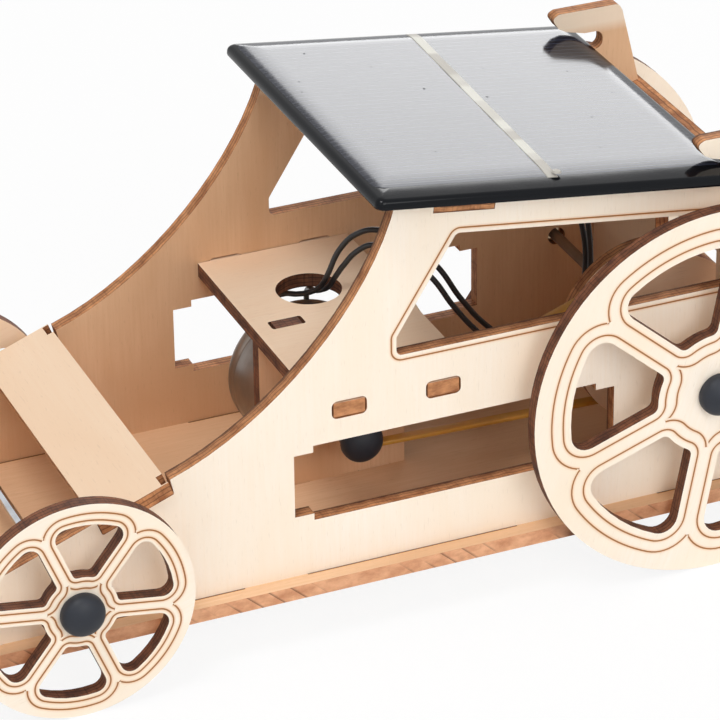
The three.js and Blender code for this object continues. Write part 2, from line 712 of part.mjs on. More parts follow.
// Driven pulley: a core disc between two flanges, all on the rear axle
function drivenPulley() {
  const pitch = plyThickness + stackGap;
  const discs = [
    ["pulley_flange_far", drivenFlangeRadius, 1],
    ["pulley_core", drivenPulleyRadius, 0],
    ["pulley_flange_near", drivenFlangeRadius, -1],
  ];
  return discs.map(([name, radius, place]) => {
    const yMid = bandPlaneY + place * pitch;
    const hole = circlePoints(rearAxleX, rearAxleZ, rearAxleRadius + slipGap, shaftSteps);
    const rim = circlePoints(rearAxleX, rearAxleZ, radius, discSteps);
    const solid = standing(rim, [hole], yMid - plyThickness / 2, yMid + plyThickness / 2);
    return piece(name, solid, birchFinish);
  });
}

// The band runs round both pulleys on their outer tangents
function driveBand() {
  const reach = new THREE.Vector2(rearAxleX - motorX, rearAxleZ - motorZ);
  const heading = THREE.MathUtils.radToDeg(reach.angle());
  const loop = (extra) => {
    const small = motorPulleyRadius + bandGap + extra;
    const large = drivenPulleyRadius + bandGap + extra;
    const lift = THREE.MathUtils.radToDeg(Math.asin((large - small) / reach.length()));
    const largeHalf = quarterTurnDegrees + lift;
    const smallHalf = quarterTurnDegrees - lift;
    return [
      ...arcPoints(rearAxleX, rearAxleZ, large, heading - largeHalf, 2 * largeHalf, bandArcStepDegrees),
      ...arcPoints(motorX, motorZ, small, heading + largeHalf, 2 * smallHalf, tightArcStepDegrees),
    ];
  };
  const yLow = bandPlaneY - bandWidth / 2;
  return piece("drive_band", standing(loop(bandThickness), [loop(0)], yLow, yLow + bandWidth), bandFinish);
}

// One window of a wheel between two spokes, as a closed loop of points
function wheelWindow(x, z, spokeDegrees, outerRadius, hubRadius, halfSpoke, outerRound, innerRound) {
  const stride = 360 / spokeCount;
  const outerReach = outerRadius - outerRound;
  const hubReach = hubRadius + innerRound;
  const outerLean = THREE.MathUtils.radToDeg(Math.asin((halfSpoke + outerRound) / outerReach));
  const hubLean = THREE.MathUtils.radToDeg(Math.asin((halfSpoke + innerRound) / hubReach));
  const first = spokeDegrees;
  const next = spokeDegrees + stride;
  const quarter = quarterTurnDegrees;
  const corner = (reach, degrees, radius, start, sweep) => {
    const angle = THREE.MathUtils.degToRad(degrees);
    const cornerX = x + reach * Math.cos(angle);
    const cornerZ = z + reach * Math.sin(angle);
    return arcPoints(cornerX, cornerZ, radius, start, sweep, tightArcStepDegrees);
  };
  return [
    ...corner(hubReach, first + hubLean, innerRound, first + hubLean + 2 * quarter, quarter - hubLean),
    ...corner(outerReach, first + outerLean, outerRound, first - quarter, quarter + outerLean),
    ...arcPoints(x, z, outerRadius, first + outerLean, stride - 2 * outerLean).slice(1, -1),
    ...corner(outerReach, next - outerLean, outerRound, next - outerLean, quarter + outerLean),
    ...corner(hubReach, next - hubLean, innerRound, next + quarter, quarter - hubLean),
    ...arcPoints(x, z, hubRadius, next - hubLean, 2 * hubLean - stride).slice(1, -1),
  ];
}

const rearWheelForm = {
  x: rearAxleX,
  z: rearAxleZ,
  radius: rearWheelRadius,
  rimWidth: rearRimWidth,
  hubRadius: rearHubRadius,
  spokeWidth: rearSpokeWidth,
  outerRound: rearWindowOuterRound,
  innerRound: rearWindowInnerRound,
  spokeDegrees: { near: rearNearSpokeDegrees, far: rearFarSpokeDegrees },
  axleRadius: rearAxleRadius,
};
const frontWheelForm = {
  x: frontAxleX,
  z: frontAxleZ,
  radius: frontWheelRadius,
  rimWidth: frontRimWidth,
  hubRadius: frontHubRadius,
  spokeWidth: frontSpokeWidth,
  outerRound: frontWindowOuterRound,
  innerRound: frontWindowInnerRound,
  spokeDegrees: { near: frontSpokeDegrees, far: frontSpokeDegrees },
  axleRadius: frontAxleRadius,
};

function wheel(name, side, form, spokeDegrees) {
  const holes = [circlePoints(form.x, form.z, form.axleRadius + slipGap, shaftSteps)];
  for (let k = 0; k < spokeCount; k++) {
    holes.push(wheelWindow(
      form.x, form.z, spokeDegrees + (k * 360) / spokeCount, form.radius - form.rimWidth,
      form.hubRadius, form.spokeWidth / 2, form.outerRound, form.innerRound));
  }
  const yMid = side * wheelCentreY;
  const rim = circlePoints(form.x, form.z, form.radius, rimSteps);
  return piece(name, standing(rim, holes, yMid - plyThickness / 2, yMid + plyThickness / 2), birchFinish);
}

// A pair of wheels on its axle, with a cap on each end
function wheelPair(prefix, form, axleLook) {
  const capFaceY = wheelCentreY + plyThickness / 2 + stackGap;
  const axleHalf = capFaceY + capBoreDepth - slipGap;
  const axle = rod(form.x, form.z, form.axleRadius, -axleHalf, axleHalf);
  const pieces = [piece(prefix + "_axle", axle, axleLook)];
  for (const [place, side] of [["near", -1], ["far", 1]]) {
    pieces.push(wheel(prefix + "_wheel_" + place, side, form, form.spokeDegrees[place]));
    const capName = prefix + "_cap_" + place;
    pieces.push(domedCap(capName, form.x, form.z, side * capFaceY, side, form.axleRadius, capBoreDepth));
  }
  return pieces;
}

// The solar panel: board, cell, tinned ribbon and its solder, all on the roof's slope
function solarPanel() {
  const half = panelWidth / 2;
  const panel = new THREE.Group();
  panel.position.set(panelFrontX, 0, panelUnderFrontZ);
  panel.rotation.y = roofSlope;
  const board = lying(rectangle(0, -half, panelLength, half, panelCornerRadius), [], 0, panelThickness);
  const cellLow = panelThickness + stackGap;
  const cellHigh = cellLow + cellThickness;
  const cellOutline = rectangle(
    cellFrontBorder, -half + cellNearBorder,
    panelLength - cellRearBorder, half - cellFarBorder, cellCornerRadius);
  const ribbonLow = cellHigh + stackGap;
  const ribbonHigh = ribbonLow + ribbonThickness;
  const ribbonStart = -half + cellNearBorder - ribbonEndOverhang;
  const ribbon = box(
    ribbonFromFront - ribbonWidth / 2, ribbonStart, ribbonLow,
    ribbonFromFront + ribbonWidth / 2, half - cellFarBorder, ribbonHigh);
  const blob = new THREE.LatheGeometry([
    new THREE.Vector2(0, 0), new THREE.Vector2(solderRadius, 0),
    new THREE.Vector2(solderRadius * solderShoulderShares[0], solderHeight * solderShoulderShares[1]),
    new THREE.Vector2(0, solderHeight),
  ], shaftSteps);
  blob.rotateX(Math.PI / 2).translate(ribbonFromFront, ribbonStart + solderRadius, ribbonHigh + stackGap);
  panel.add(
    piece("solar_board", board, boardFinish),
    piece("solar_cell", lying(cellOutline, [], cellLow, cellHigh), cellFinish),
    piece("cell_ribbon", ribbon, tinFinish),
    piece("ribbon_solder", toSolid(blob), tinFinish),
  );
  const pads = [["panel_pad_a", wireARoute], ["panel_pad_b", wireBRoute]];
  for (const [name, route] of pads) {
    const [x, y] = route[route.length - 1];
    const along = (x - panelFrontX) / Math.cos(roofSlope);
    const disc = circlePoints(along, y, padRadius, shaftSteps);
    panel.add(piece(name, lying(disc, [], -stackGap - padThickness, -stackGap), tinFinish));
  }
  return panel;
}

// A wire: a round tube along its route
function wire(name, route) {
  const points = route.map((point) => new THREE.Vector3(...point));
  const curve = new THREE.CatmullRomCurve3(points, false, "centripetal");
  const section = new THREE.Shape(circlePoints(0, 0, wireDiameter / 2, wireSides));
  const steps = Math.round(curve.getLength() / (wireDiameter * wireStepDiameters));
  const geometry = new THREE.ExtrudeGeometry(section, { steps, bevelEnabled: false, extrudePath: curve });
  return piece(name, toSolid(geometry), wireFinish);
}

const car = new THREE.Group();
const frontmostX = Math.min(baseFrontX, frontAxleX - frontWheelRadius);
const rearmostX = Math.max(baseRearX, rearAxleX + rearWheelRadius);
car.position.x = -(frontmostX + rearmostX) / 2;
car.add(
  sidePanel("side_panel_near", -1),
  sidePanel("side_panel_far", 1),
  basePlate(),
  bonnetPlate(),
  roofBar(),
  rearBar(),
  rearBulkhead(),
  motorShelf(),
  motorPlate(),
  solarPanel(),
  ...motorPieces(),
  ...rotorPieces(),
  driveBand(),
  ...drivenPulley(),
  ...wheelPair("rear", rearWheelForm, dullSteelFinish),
  ...wheelPair("front", frontWheelForm, steelFinish),
  wire("wire_a", wireARoute),
  wire("wire_b", wireBRoute),
);

export default car;
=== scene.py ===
import math
import random

import bpy
import bmesh
from mathutils import Matrix, Vector


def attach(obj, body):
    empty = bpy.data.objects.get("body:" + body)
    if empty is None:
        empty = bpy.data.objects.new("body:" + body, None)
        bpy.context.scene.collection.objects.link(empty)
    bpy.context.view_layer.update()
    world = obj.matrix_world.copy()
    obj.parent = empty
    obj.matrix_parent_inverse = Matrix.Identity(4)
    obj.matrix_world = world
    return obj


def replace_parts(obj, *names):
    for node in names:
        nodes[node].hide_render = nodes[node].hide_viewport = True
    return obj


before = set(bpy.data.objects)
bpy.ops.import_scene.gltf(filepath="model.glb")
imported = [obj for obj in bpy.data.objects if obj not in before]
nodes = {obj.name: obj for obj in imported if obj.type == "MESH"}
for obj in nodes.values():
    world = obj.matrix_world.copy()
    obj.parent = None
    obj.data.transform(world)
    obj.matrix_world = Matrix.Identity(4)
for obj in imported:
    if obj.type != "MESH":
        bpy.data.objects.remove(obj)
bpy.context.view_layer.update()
print("frame: the packed kit is in,", len(nodes), "solids")

mm = 0.001
originX = -26.9  # the CAD counts x from the long slot, the frame from the middle of the car
rearX, rearZ = 88.65 + originX, 40.8  # the axles
frontX, frontZ = -48.3 + originX, 23.6
motorX, motorZ = 22.4 + originX, 30.2
panelFace, wheelFace = 35.1, 44.2  # outer faces of the side panels and of the wheels
roofX, roofZ = 16.24, 94.46  # front end of the slope under the solar panel, its x as the CAD counts it


def degrees(angle):
    return math.radians(angle)


# the camera stands where the photograph was taken, with a long lens
camera = dict(
    place=(-0.28363, -0.68810, 0.44739), azimuth=-22.544, elevation=28.698, roll=-0.800,
    lens=206.5, sensor=36, nearest=0.05, farthest=20,
)


def addCamera():
    azimuth, elevation, roll = (degrees(camera[key]) for key in ("azimuth", "elevation", "roll"))
    back = Vector((
        math.sin(azimuth) * math.cos(elevation),
        -math.cos(azimuth) * math.cos(elevation),
        math.sin(elevation),
    ))
    flat = Vector((math.cos(azimuth), math.sin(azimuth), 0))
    rise = back.cross(flat)
    right = flat * math.cos(roll) + rise * math.sin(roll)
    up = rise * math.cos(roll) - flat * math.sin(roll)
    data = bpy.data.cameras.new("camera")
    data.lens = camera["lens"]
    data.sensor_width = camera["sensor"]
    data.clip_start = camera["nearest"]
    data.clip_end = camera["farthest"]
    made = bpy.data.objects.new("camera", data)
    turn = Matrix((right, up, back)).transposed().to_4x4()
    made.matrix_world = Matrix.Translation(camera["place"]) @ turn
    bpy.context.scene.collection.objects.link(made)
    bpy.context.scene.camera = made
    print("camera: a long lens from the front left, where the photograph was taken")


addCamera()


# small helpers for the node trees
def addNode(tree, kind, inputs=None, **settings):
    made = tree.nodes.new("ShaderNode" + kind)
    for key, value in settings.items():
        setattr(made, key, value)
    for key, value in (inputs or {}).items():
        socket = made.inputs[key]
        if isinstance(value, bpy.types.NodeSocket):
            tree.links.new(value, socket)
        else:
            socket.default_value = value
    return made


def colour(red, green, blue):
    def linear(value):
        share = value / 255
        return share / 12.92 if share <= 0.04045 else ((share + 0.055) / 1.055) ** 2.4
    return (linear(red), linear(green), linear(blue), 1.0)


def shaded(tone, share):
    return tuple(min(1, value * share) for value in tone[:3]) + (1,)


def calc(tree, operation, a, b=0.0):
    return addNode(tree, "Math", {0: a, 1: b}, operation=operation).outputs[0]


def blend(tree, amount, first, second):
    return addNode(tree, "Mix", {0: amount, 6: first, 7: second}, data_type="RGBA").outputs[2]


def ramp(tree, value, *stops):
    made = addNode(tree, "ValToRGB", {0: value})
    line = made.color_ramp
    while len(line.elements) < len(stops):
        line.elements.new(0.5)
    for element, (place, shade) in zip(line.elements, stops):
        element.position = place
        element.color = shade if hasattr(shade, "__len__") else (shade, shade, shade, 1)
    return made.outputs[0]


def along(tree, point, axis):
    return addNode(tree, "VectorMath", {0: point, 1: axis}, operation="DOT_PRODUCT").outputs["Value"]


def stretched(tree, point, axes, scales):
    parts = [calc(tree, "MULTIPLY", along(tree, point, axis), scale) for axis, scale in zip(axes, scales)]
    return addNode(tree, "CombineXYZ", dict(enumerate(parts))).outputs[0]


def noise(tree, vector, scale=1.0, detail=3.0, roughness=0.5, distortion=0.0):
    made = addNode(tree, "TexNoise", {
        "Vector": vector, "Scale": scale, "Detail": detail, "Roughness": roughness, "Distortion": distortion,
    })
    return made.outputs["Fac"]


def newMaterial(name):
    material = bpy.data.materials.new(name)
    material.use_nodes = True
    tree = material.node_tree
    tree.nodes.clear()
    shader = addNode(tree, "BsdfPrincipled")
    addNode(tree, "OutputMaterial", {"Surface": shader.outputs[0]})
    point = addNode(tree, "TexCoord").outputs["Object"]
    return material, tree, shader, point


def shaderOf(material):
    return material.node_tree.nodes["Principled BSDF"]


def bump(tree, height, strength, distance):
    return addNode(tree, "Bump", {"Height": height, "Strength": strength, "Distance": distance}).outputs[0]


def wear(name, base, spread=0.12, roughness=0.45, roughSpread=0.08, scale=220.0, grit=0.15,
         depth=0.00003, metallic=0.0):
    # the common finish: a base tone that drifts a little, with a fine uneven surface
    material, tree, shader, point = newMaterial(name)
    drift = noise(tree, point, scale=scale, detail=4)
    fine = noise(tree, point, scale=scale * 9, detail=2)
    tone = ramp(tree, drift, (0.3, shaded(base, 1 - spread)), (0.7, shaded(base, 1 + spread)))
    rough = ramp(tree, drift, (0.25, roughness - roughSpread), (0.75, roughness + roughSpread))
    tree.links.new(tone, shader.inputs["Base Color"])
    tree.links.new(rough, shader.inputs["Roughness"])
    tree.links.new(bump(tree, fine, grit, depth), shader.inputs["Normal"])
    shader.inputs["Metallic"].default_value = metallic
    return material


def dress(node, material):
    # gives a CAD node its finish
    data = nodes[node].data
    data.materials.clear()
    data.materials.append(material)


# wires: the same points as the CAD routes, in metres
wires = dict(
    thickness=0.0012,
    smoothness=10,
    sides=5,
    coat=0.15,
    colour=colour(20, 20, 23),
    routes=dict(
        wire_a=[
            (-0.0089, 0.0240, 0.0354), (-0.0090, 0.0240, 0.0385), (-0.0089, 0.0238, 0.0420),
            (-0.0079, 0.0228, 0.0450), (-0.0064, 0.0205, 0.0469), (-0.0049, 0.0170, 0.0482),
            (-0.0033, 0.0132, 0.0502), (-0.0023, 0.0104, 0.0526), (-0.0015, 0.0090, 0.0552),
            (0.0014, 0.0080, 0.0618), (0.0046, 0.0060, 0.0655), (0.0080, 0.0045, 0.0662),
            (0.0136, 0.0026, 0.0636), (0.0199, 0.0010, 0.0569), (0.0251, 0.0006, 0.0484),
            (0.0311, 0.0006, 0.0407), (0.0381, 0.0007, 0.0349), (0.0451, 0.0008, 0.0338),
            (0.0505, 0.0008, 0.0383), (0.0530, 0.0008, 0.0450), (0.0536, 0.0008, 0.0505),
            (0.0533, 0.0008, 0.0560), (0.0523, 0.0008, 0.0615), (0.0512, 0.0008, 0.0700),
            (0.0507, 0.0008, 0.0790), (0.0507, 0.0008, 0.0850),
        ],
        wire_b=[
            (-0.0001, 0.0240, 0.0354), (0.0000, 0.0240, 0.0385), (-0.0001, 0.0238, 0.0420),
            (-0.0004, 0.0228, 0.0450), (-0.0007, 0.0205, 0.0469), (-0.0009, 0.0170, 0.0482),
            (-0.0008, 0.0132, 0.0502), (-0.0004, 0.0104, 0.0522), (0.0002, 0.0087, 0.0548),
            (0.0017, 0.0076, 0.0578), (0.0044, 0.0060, 0.0615), (0.0072, 0.0046, 0.0629),
            (0.0125, 0.0016, 0.0608), (0.0176, -0.0008, 0.0559), (0.0225, -0.0014, 0.0482),
            (0.0275, -0.0016, 0.0416), (0.0346, -0.0016, 0.0342), (0.0431, -0.0013, 0.0312),
            (0.0509, -0.0010, 0.0356), (0.0537, -0.0009, 0.0430), (0.0540, -0.0008, 0.0505),
            (0.0538, -0.0008, 0.0560), (0.0532, -0.0008, 0.0615), (0.0524, -0.0008, 0.0700),
            (0.0521, -0.0008, 0.0790), (0.0521, -0.0008, 0.0848),
        ],
    ),
    lengths=dict(wire_a=0.1520, wire_b=0.1494),
)


def addWires():
    finish = wear("wireInsulation", wires["colour"], roughness=0.42, scale=400.0)
    shaderOf(finish).inputs["Coat Weight"].default_value = wires["coat"]
    for name, route in wires["routes"].items():
        data = bpy.data.curves.new(name + "_lead", "CURVE")
        data.dimensions = "3D"
        data.bevel_depth = wires["thickness"] / 2
        data.bevel_resolution = wires["sides"]
        data.resolution_u = wires["smoothness"]
        data.use_fill_caps = True
        spline = data.splines.new("BEZIER")
        spline.bezier_points.add(len(route) - 1)
        for knot, place in zip(spline.bezier_points, route):
            knot.co = place
            knot.handle_left_type = knot.handle_right_type = "AUTO"
        data.materials.append(finish)
        lead = bpy.data.objects.new(name + "_lead", data)
        bpy.context.scene.collection.objects.link(lead)
        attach(lead, "body")
        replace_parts(lead, name)
    print("wires: two leads from the motor to the solar panel")


addWires()


# floor, backdrop and lamps
studio = dict(
    floorSize=3.0,
    floorColour=colour(253, 253, 253),
    floorShine=0.88,  # share of the floor's white that is its own, for the camera and for reflections
    skyStrength=0.4,
    lamps=[
        dict(name="keyLamp", place=(0.15, -1.2, 0.75), aim=(0, 0, 0.04), size=0.9, power=6.8),
        dict(name="frontLamp", place=(-0.95, -0.85, 0.95), aim=(0, 0, 0.04), size=0.8, power=1.0),
        dict(name="topLamp", place=(-0.42, -0.3, 1.3), aim=(0, 0, 0.04), size=0.5, power=7.0),
        dict(name="panelLamp", place=(0.92, 1.66, 0.72), aim=(0.02, 0, 0.09), size=0.8, power=9.4),
    ],
)


def seenRays(tree):
    path = addNode(tree, "LightPath")
    seen = calc(tree, "MAXIMUM", path.outputs["Is Camera Ray"], path.outputs["Is Glossy Ray"])
    return calc(tree, "MAXIMUM", seen, path.outputs["Is Transmission Ray"])


def mixedShader(tree, share, first, second):
    return addNode(tree, "MixShader", {0: share, 1: first, 2: second}).outputs[0]


def addStudio():
    material = bpy.data.materials.new("paleFloor")
    material.use_nodes = True
    tree = material.node_tree
    tree.nodes.clear()
    matt = addNode(tree, "BsdfDiffuse", {"Color": studio["floorColour"]}).outputs[0]
    glow = addNode(tree, "Emission", {"Color": (1, 1, 1, 1), "Strength": 1.0}).outputs[0]
    share = calc(tree, "MULTIPLY", seenRays(tree), studio["floorShine"])
    addNode(tree, "OutputMaterial", {0: mixedShader(tree, share, matt, glow)})
    data = bpy.data.meshes.new("floor")
    half = studio["floorSize"] / 2
    corners = [(-half, -half, 0), (half, -half, 0), (half, half, 0), (-half, half, 0)]
    data.from_pydata(corners, [], [(0, 1, 2, 3)])
    data.materials.append(material)
    floor = bpy.data.objects.new("floor", data)
    bpy.context.scene.collection.objects.link(floor)

    world = bpy.data.worlds.new("studio")
    bpy.context.scene.world = world
    world.use_nodes = True
    tree = world.node_tree
    tree.nodes.clear()
    plain = addNode(tree, "Background", {"Color": (1, 1, 1, 1), "Strength": studio["skyStrength"]}).outputs[0]
    white = addNode(tree, "Background", {"Color": (1, 1, 1, 1), "Strength": 1.0}).outputs[0]
    addNode(tree, "OutputWorld", {0: mixedShader(tree, seenRays(tree), plain, white)})

    for lamp in studio["lamps"]:
        data = bpy.data.lights.new(lamp["name"], "AREA")
        data.shape = "DISK"
        data.size = lamp["size"]
        data.energy = lamp["power"]
        made = bpy.data.objects.new(lamp["name"], data)
        place = Vector(lamp["place"])
        made.location = place
        made.rotation_mode = "QUATERNION"
        made.rotation_quaternion = (Vector(lamp["aim"]) - place).to_track_quat("-Z", "Y")
        bpy.context.scene.collection.objects.link(made)
    bpy.context.scene.view_settings.view_transform = "Standard"
    print("studio: white floor,", len(studio["lamps"]), "soft lamps")


addStudio()


# plywood: pale veneer on one side of a sheet and a browner tone on the other, which is painted shade on the
# sides that face into the car or lie under other parts, and burnt laser-cut edges
plyTonesAndShade = dict(
    pale=(colour(253, 241, 226), colour(250, 233, 211)),
    cream=(colour(248, 222, 194), colour(242, 209, 177)),
    tan=(colour(238, 200, 163), colour(218, 173, 133)),
    scorch=colour(158, 102, 52),
    scorchEdge=colour(230, 176, 120),
    soot=colour(58, 38, 28),
)
plyEdges = dict(
    toasted=dict(light=colour(220, 156, 106), dark=colour(158, 100, 62), glue=colour(92, 54, 36),
                 char=colour(72, 46, 36), soot=0.35),
    burnt=dict(light=colour(142, 90, 62), dark=colour(84, 52, 40), glue=colour(52, 34, 28),
               char=colour(44, 30, 26), soot=0.6),
)

roofLean, bonnetLean, backLean = degrees(7.46), degrees(20.8), degrees(13.7)
plyThickness = 3.1 * mm
sheetRoof = (math.sin(roofLean), 0, math.cos(roofLean))
sheetBonnet = (-math.sin(bonnetLean), 0, math.cos(bonnetLean))
sheetBack = (math.cos(backLean), 0, math.sin(backLean))
upright, sideways, level = (0, 0, 1), (0, 1, 0), (1, 0, 0)
mainAxes = (level, sideways, upright)

# three numbers are noise scales along the grain, across it and through the sheet
plyGrain = dict(
    drift=(14, 45, 30), streak=(70, 1500, 60), fleck=(420, 3600, 90),
    char=(230, 230, 420), rays=(2200, 2200, 120), waver=(320, 320, 60),
    glueLines=[(0.0, 0.7), (0.07, 0.1), (0.27, 0.0), (0.33, 0.85), (0.4, 0.2),
               (0.6, 0.2), (0.67, 0.85), (0.74, 0.0), (0.93, 0.1), (1.0, 0.7)],
    waviness=0.3, roughness=0.72, roughSpread=0.2, shine=0.3, bump=0.25, bumpDepth=0.00006,
)
# slanted scorch marks on the cut edge of the deck
deckTicks = dict(slant=1.1, perMetre=215.0, dark=colour(196, 134, 96), light=colour(232, 176, 136))

# normal is the sheet's own, front the tone on the side that it points to, back the other side's, where cream
# and tan on a side facing into the car are painted shade;
# paintedLitFrom is the height above which the face is painted pale, painted light where it rises out of the
# roof's shade, tabEnds how far out its tabs end
plySheets = dict(
    side_panel_near=dict(normal=sideways, grain=upright, front="tan", back="pale", darkInside=True),
    side_panel_far=dict(normal=sideways, grain=upright, front="pale", back="tan", paintedLitFrom=0.087),
    base_plate=dict(normal=upright, grain=level, front="tan", back="pale", ticks=True),
    bonnet_plate=dict(normal=sheetBonnet, grain=sideways, front="cream", back="tan"),
    roof_bar=dict(normal=sheetRoof, grain=sideways, front="cream", back="tan"),
    rear_bar=dict(normal=sheetBack, grain=sideways, front="pale", back="tan"),
    rear_bulkhead=dict(normal=level, grain=upright, front="pale", back="cream"),
    motor_shelf=dict(normal=upright, grain=level, front="cream", back="tan", edge="burnt", tabEnds=0.0335),
    motor_plate=dict(normal=sideways, grain=upright, front="tan", back="tan", edge="burnt"),
    pulley_core=dict(normal=sideways, grain=level, front="cream", back="cream"),
    pulley_flange_near=dict(normal=sideways, grain=level, front="cream", back="cream"),
    pulley_flange_far=dict(normal=sideways, grain=level, front="cream", back="cream"),
    rear_wheel_near=dict(normal=sideways, grain=(0.3, 0, 0.95), front="cream", back="pale", edge="burnt"),
    rear_wheel_far=dict(normal=sideways, grain=(0.3, 0, 0.95), front="pale", back="pale", edge="burnt"),
    front_wheel_near=dict(normal=sideways, grain=(0.95, 0, 0.3), front="cream", back="pale", edge="burnt"),
    front_wheel_far=dict(normal=sideways, grain=(0.95, 0, 0.3), front="pale", back="cream", edge="burnt"),
)


def lowestAlong(node, axis):
    return min(vertex.co.dot(axis) for vertex in nodes[node].data.vertices)


def veneerAndShadeTone(tree, point, axes, sheet, onFront, streak):
    # broad drift, fine streaks along the grain and short dark flecks
    drift = noise(tree, stretched(tree, point, axes, plyGrain["drift"]), detail=3, distortion=0.6)
    fleck = noise(tree, stretched(tree, point, axes, plyGrain["fleck"]), detail=1)
    tones = []
    # the back and the front tone of the sheet: a browner one on a side that faces into the car is painted shade
    for side in ("back", "front"):
        light, dark = plyTonesAndShade[sheet[side]]
        tone = ramp(tree, drift, (0.3, light), (0.72, dark))
        tone = blend(tree, ramp(tree, streak, (0.35, 0.0), (0.75, 0.55)), tone, dark)
        tones.append(blend(tree, ramp(tree, fleck, (0.66, 0.0), (0.76, 0.4)), tone, shaded(dark, 0.82)))
    veneerAndShade = blend(tree, onFront, *tones)
    # painted light: above the given height the face is painted pale, where it rises out of the roof's shade
    if "paintedLitFrom" in sheet:
        height = calc(tree, "SUBTRACT", along(tree, point, upright), sheet["paintedLitFrom"])
        paintedLit = ramp(tree, calc(tree, "MULTIPLY", height, 200.0), (0.0, 0.0), (0.5, 0.75))
        veneerAndShade = blend(tree, paintedLit, veneerAndShade, plyTonesAndShade["pale"][1])

    # a line burnt into the face: its ribbon carries how burnt each point is
    burnt = addNode(tree, "Attribute", attribute_name="scorch").outputs["Fac"]
    return blend(tree, ramp(tree, burnt, (0.0, 0.0), (0.35, 0.4), (0.6, 1.0)), veneerAndShade,
                 ramp(tree, burnt, (0.4, plyTonesAndShade["scorchEdge"]), (0.68, plyTonesAndShade["scorch"]),
                      (0.84, plyTonesAndShade["scorch"]), (1.0, plyTonesAndShade["soot"])))


def cutTone(tree, point, axes, sheet, low, rays):
    # toasted plies, dark wavy glue lines along them, and charring
    grain, across, normal = axes
    edge = plyEdges[sheet.get("edge", "toasted")]
    char = noise(tree, stretched(tree, point, axes, plyGrain["char"]), detail=5, roughness=0.65)
    wood = ramp(tree, char, (0.34, edge["dark"]), (0.62, edge["light"]))
    depth = calc(tree, "DIVIDE", calc(tree, "SUBTRACT", along(tree, point, normal), low), plyThickness)
    waver = noise(tree, stretched(tree, point, axes, plyGrain["waver"]), detail=3)
    wave = calc(tree, "MULTIPLY", calc(tree, "SUBTRACT", waver, 0.5), plyGrain["waviness"])
    layer = calc(tree, "ADD", depth, wave)
    wood = blend(tree, ramp(tree, layer, *plyGrain["glueLines"]), wood, edge["glue"])
    # the cut edge turns darker towards the sheet's inner face
    if "darkInside" in sheet:
        wood = blend(tree, ramp(tree, layer, (0.7, 0.0), (0.86, 0.8)), wood, edge["char"])
    soot = calc(tree, "MULTIPLY", ramp(tree, rays, (0.5, 0.0), (0.75, 1.0)), edge["soot"])
    wood = blend(tree, soot, wood, edge["char"])
    if "ticks" in sheet:
        rise = calc(tree, "MULTIPLY", along(tree, point, normal), deckTicks["slant"])
        slant = calc(tree, "ADD", along(tree, point, grain), rise)
        tick = ramp(tree, calc(tree, "FRACT", calc(tree, "MULTIPLY", slant, deckTicks["perMetre"])),
                    (0.0, 0.85), (0.16, 0.0))
        gap = ramp(tree, noise(tree, point, scale=90, detail=2), (0.45, 0.0), (0.6, 1.0))
        orange = ramp(tree, char, (0.3, deckTicks["dark"]), (0.65, deckTicks["light"]))
        wood = blend(tree, calc(tree, "MULTIPLY", tick, gap), orange, edge["glue"])
        soot = ramp(tree, noise(tree, point, scale=38, detail=3), (0.62, 0.0), (0.68, 0.8))
        wood = blend(tree, soot, wood, edge["char"])
    if "tabEnds" in sheet:
        # the ends of its tabs, seen in the slots of the side panels, are less burnt
        toast = plyEdges["toasted"]
        out = calc(tree, "ABSOLUTE", along(tree, point, sideways))
        ends = calc(tree, "MULTIPLY", calc(tree, "GREATER_THAN", out, sheet["tabEnds"]), 0.8)
        wood = blend(tree, ends, wood, ramp(tree, char, (0.34, toast["dark"]), (0.62, toast["light"])))
    return wood


def plyMaterial(name, sheet):
    material, tree, shader, point = newMaterial("ply_" + name)
    normal = Vector(sheet["normal"]).normalized()
    grain = Vector(sheet["grain"]).normalized()
    axes = (grain, normal.cross(grain), normal)
    facing = along(tree, addNode(tree, "TexCoord").outputs["Normal"], normal)
    onFace = calc(tree, "GREATER_THAN", calc(tree, "ABSOLUTE", facing), 0.7)
    onFront = calc(tree, "GREATER_THAN", facing, 0.0)
    streak = noise(tree, stretched(tree, point, axes, plyGrain["streak"]), detail=4, roughness=0.6)
    rays = noise(tree, stretched(tree, point, axes, plyGrain["rays"]), detail=2)
    veneerAndShade = veneerAndShadeTone(tree, point, axes, sheet, onFront, streak)
    wood = cutTone(tree, point, axes, sheet, lowestAlong(name, normal), rays)
    drift = calc(tree, "MULTIPLY", calc(tree, "SUBTRACT", streak, 0.5), plyGrain["roughSpread"])
    relief = bump(tree, blend(tree, onFace, rays, streak), plyGrain["bump"], plyGrain["bumpDepth"])
    tree.links.new(blend(tree, onFace, wood, veneerAndShade), shader.inputs["Base Color"])
    tree.links.new(calc(tree, "ADD", plyGrain["roughness"], drift), shader.inputs["Roughness"])
    tree.links.new(relief, shader.inputs["Normal"])
    shader.inputs["Specular IOR Level"].default_value = plyGrain["shine"]
    return material


plyFinishes = {}


def dressPly():
    for name, sheet in plySheets.items():
        plyFinishes[name] = plyMaterial(name, sheet)
        dress(name, plyFinishes[name])
    print("plywood:", len(plySheets), "sheets with veneer and burnt edges")


dressPly()


# mesh helpers
def meshPiece(name, points, faces, finish, body, smooth=None):
    data = bpy.data.meshes.new(name)
    data.from_pydata([tuple(point) for point in points], [], faces)
    data.validate()
    fixer = bmesh.new()
    fixer.from_mesh(data)
    bmesh.ops.remove_doubles(fixer, verts=fixer.verts, dist=1e-7)
    bmesh.ops.recalc_face_normals(fixer, faces=fixer.faces)
    fixer.to_mesh(data)
    fixer.free()
    if smooth is not None:
        data.shade_smooth()
        data.set_sharp_from_angle(angle=degrees(smooth))
    data.materials.append(finish)
    made = bpy.data.objects.new(name, data)
    bpy.context.scene.collection.objects.link(made)
    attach(made, body)
    return made


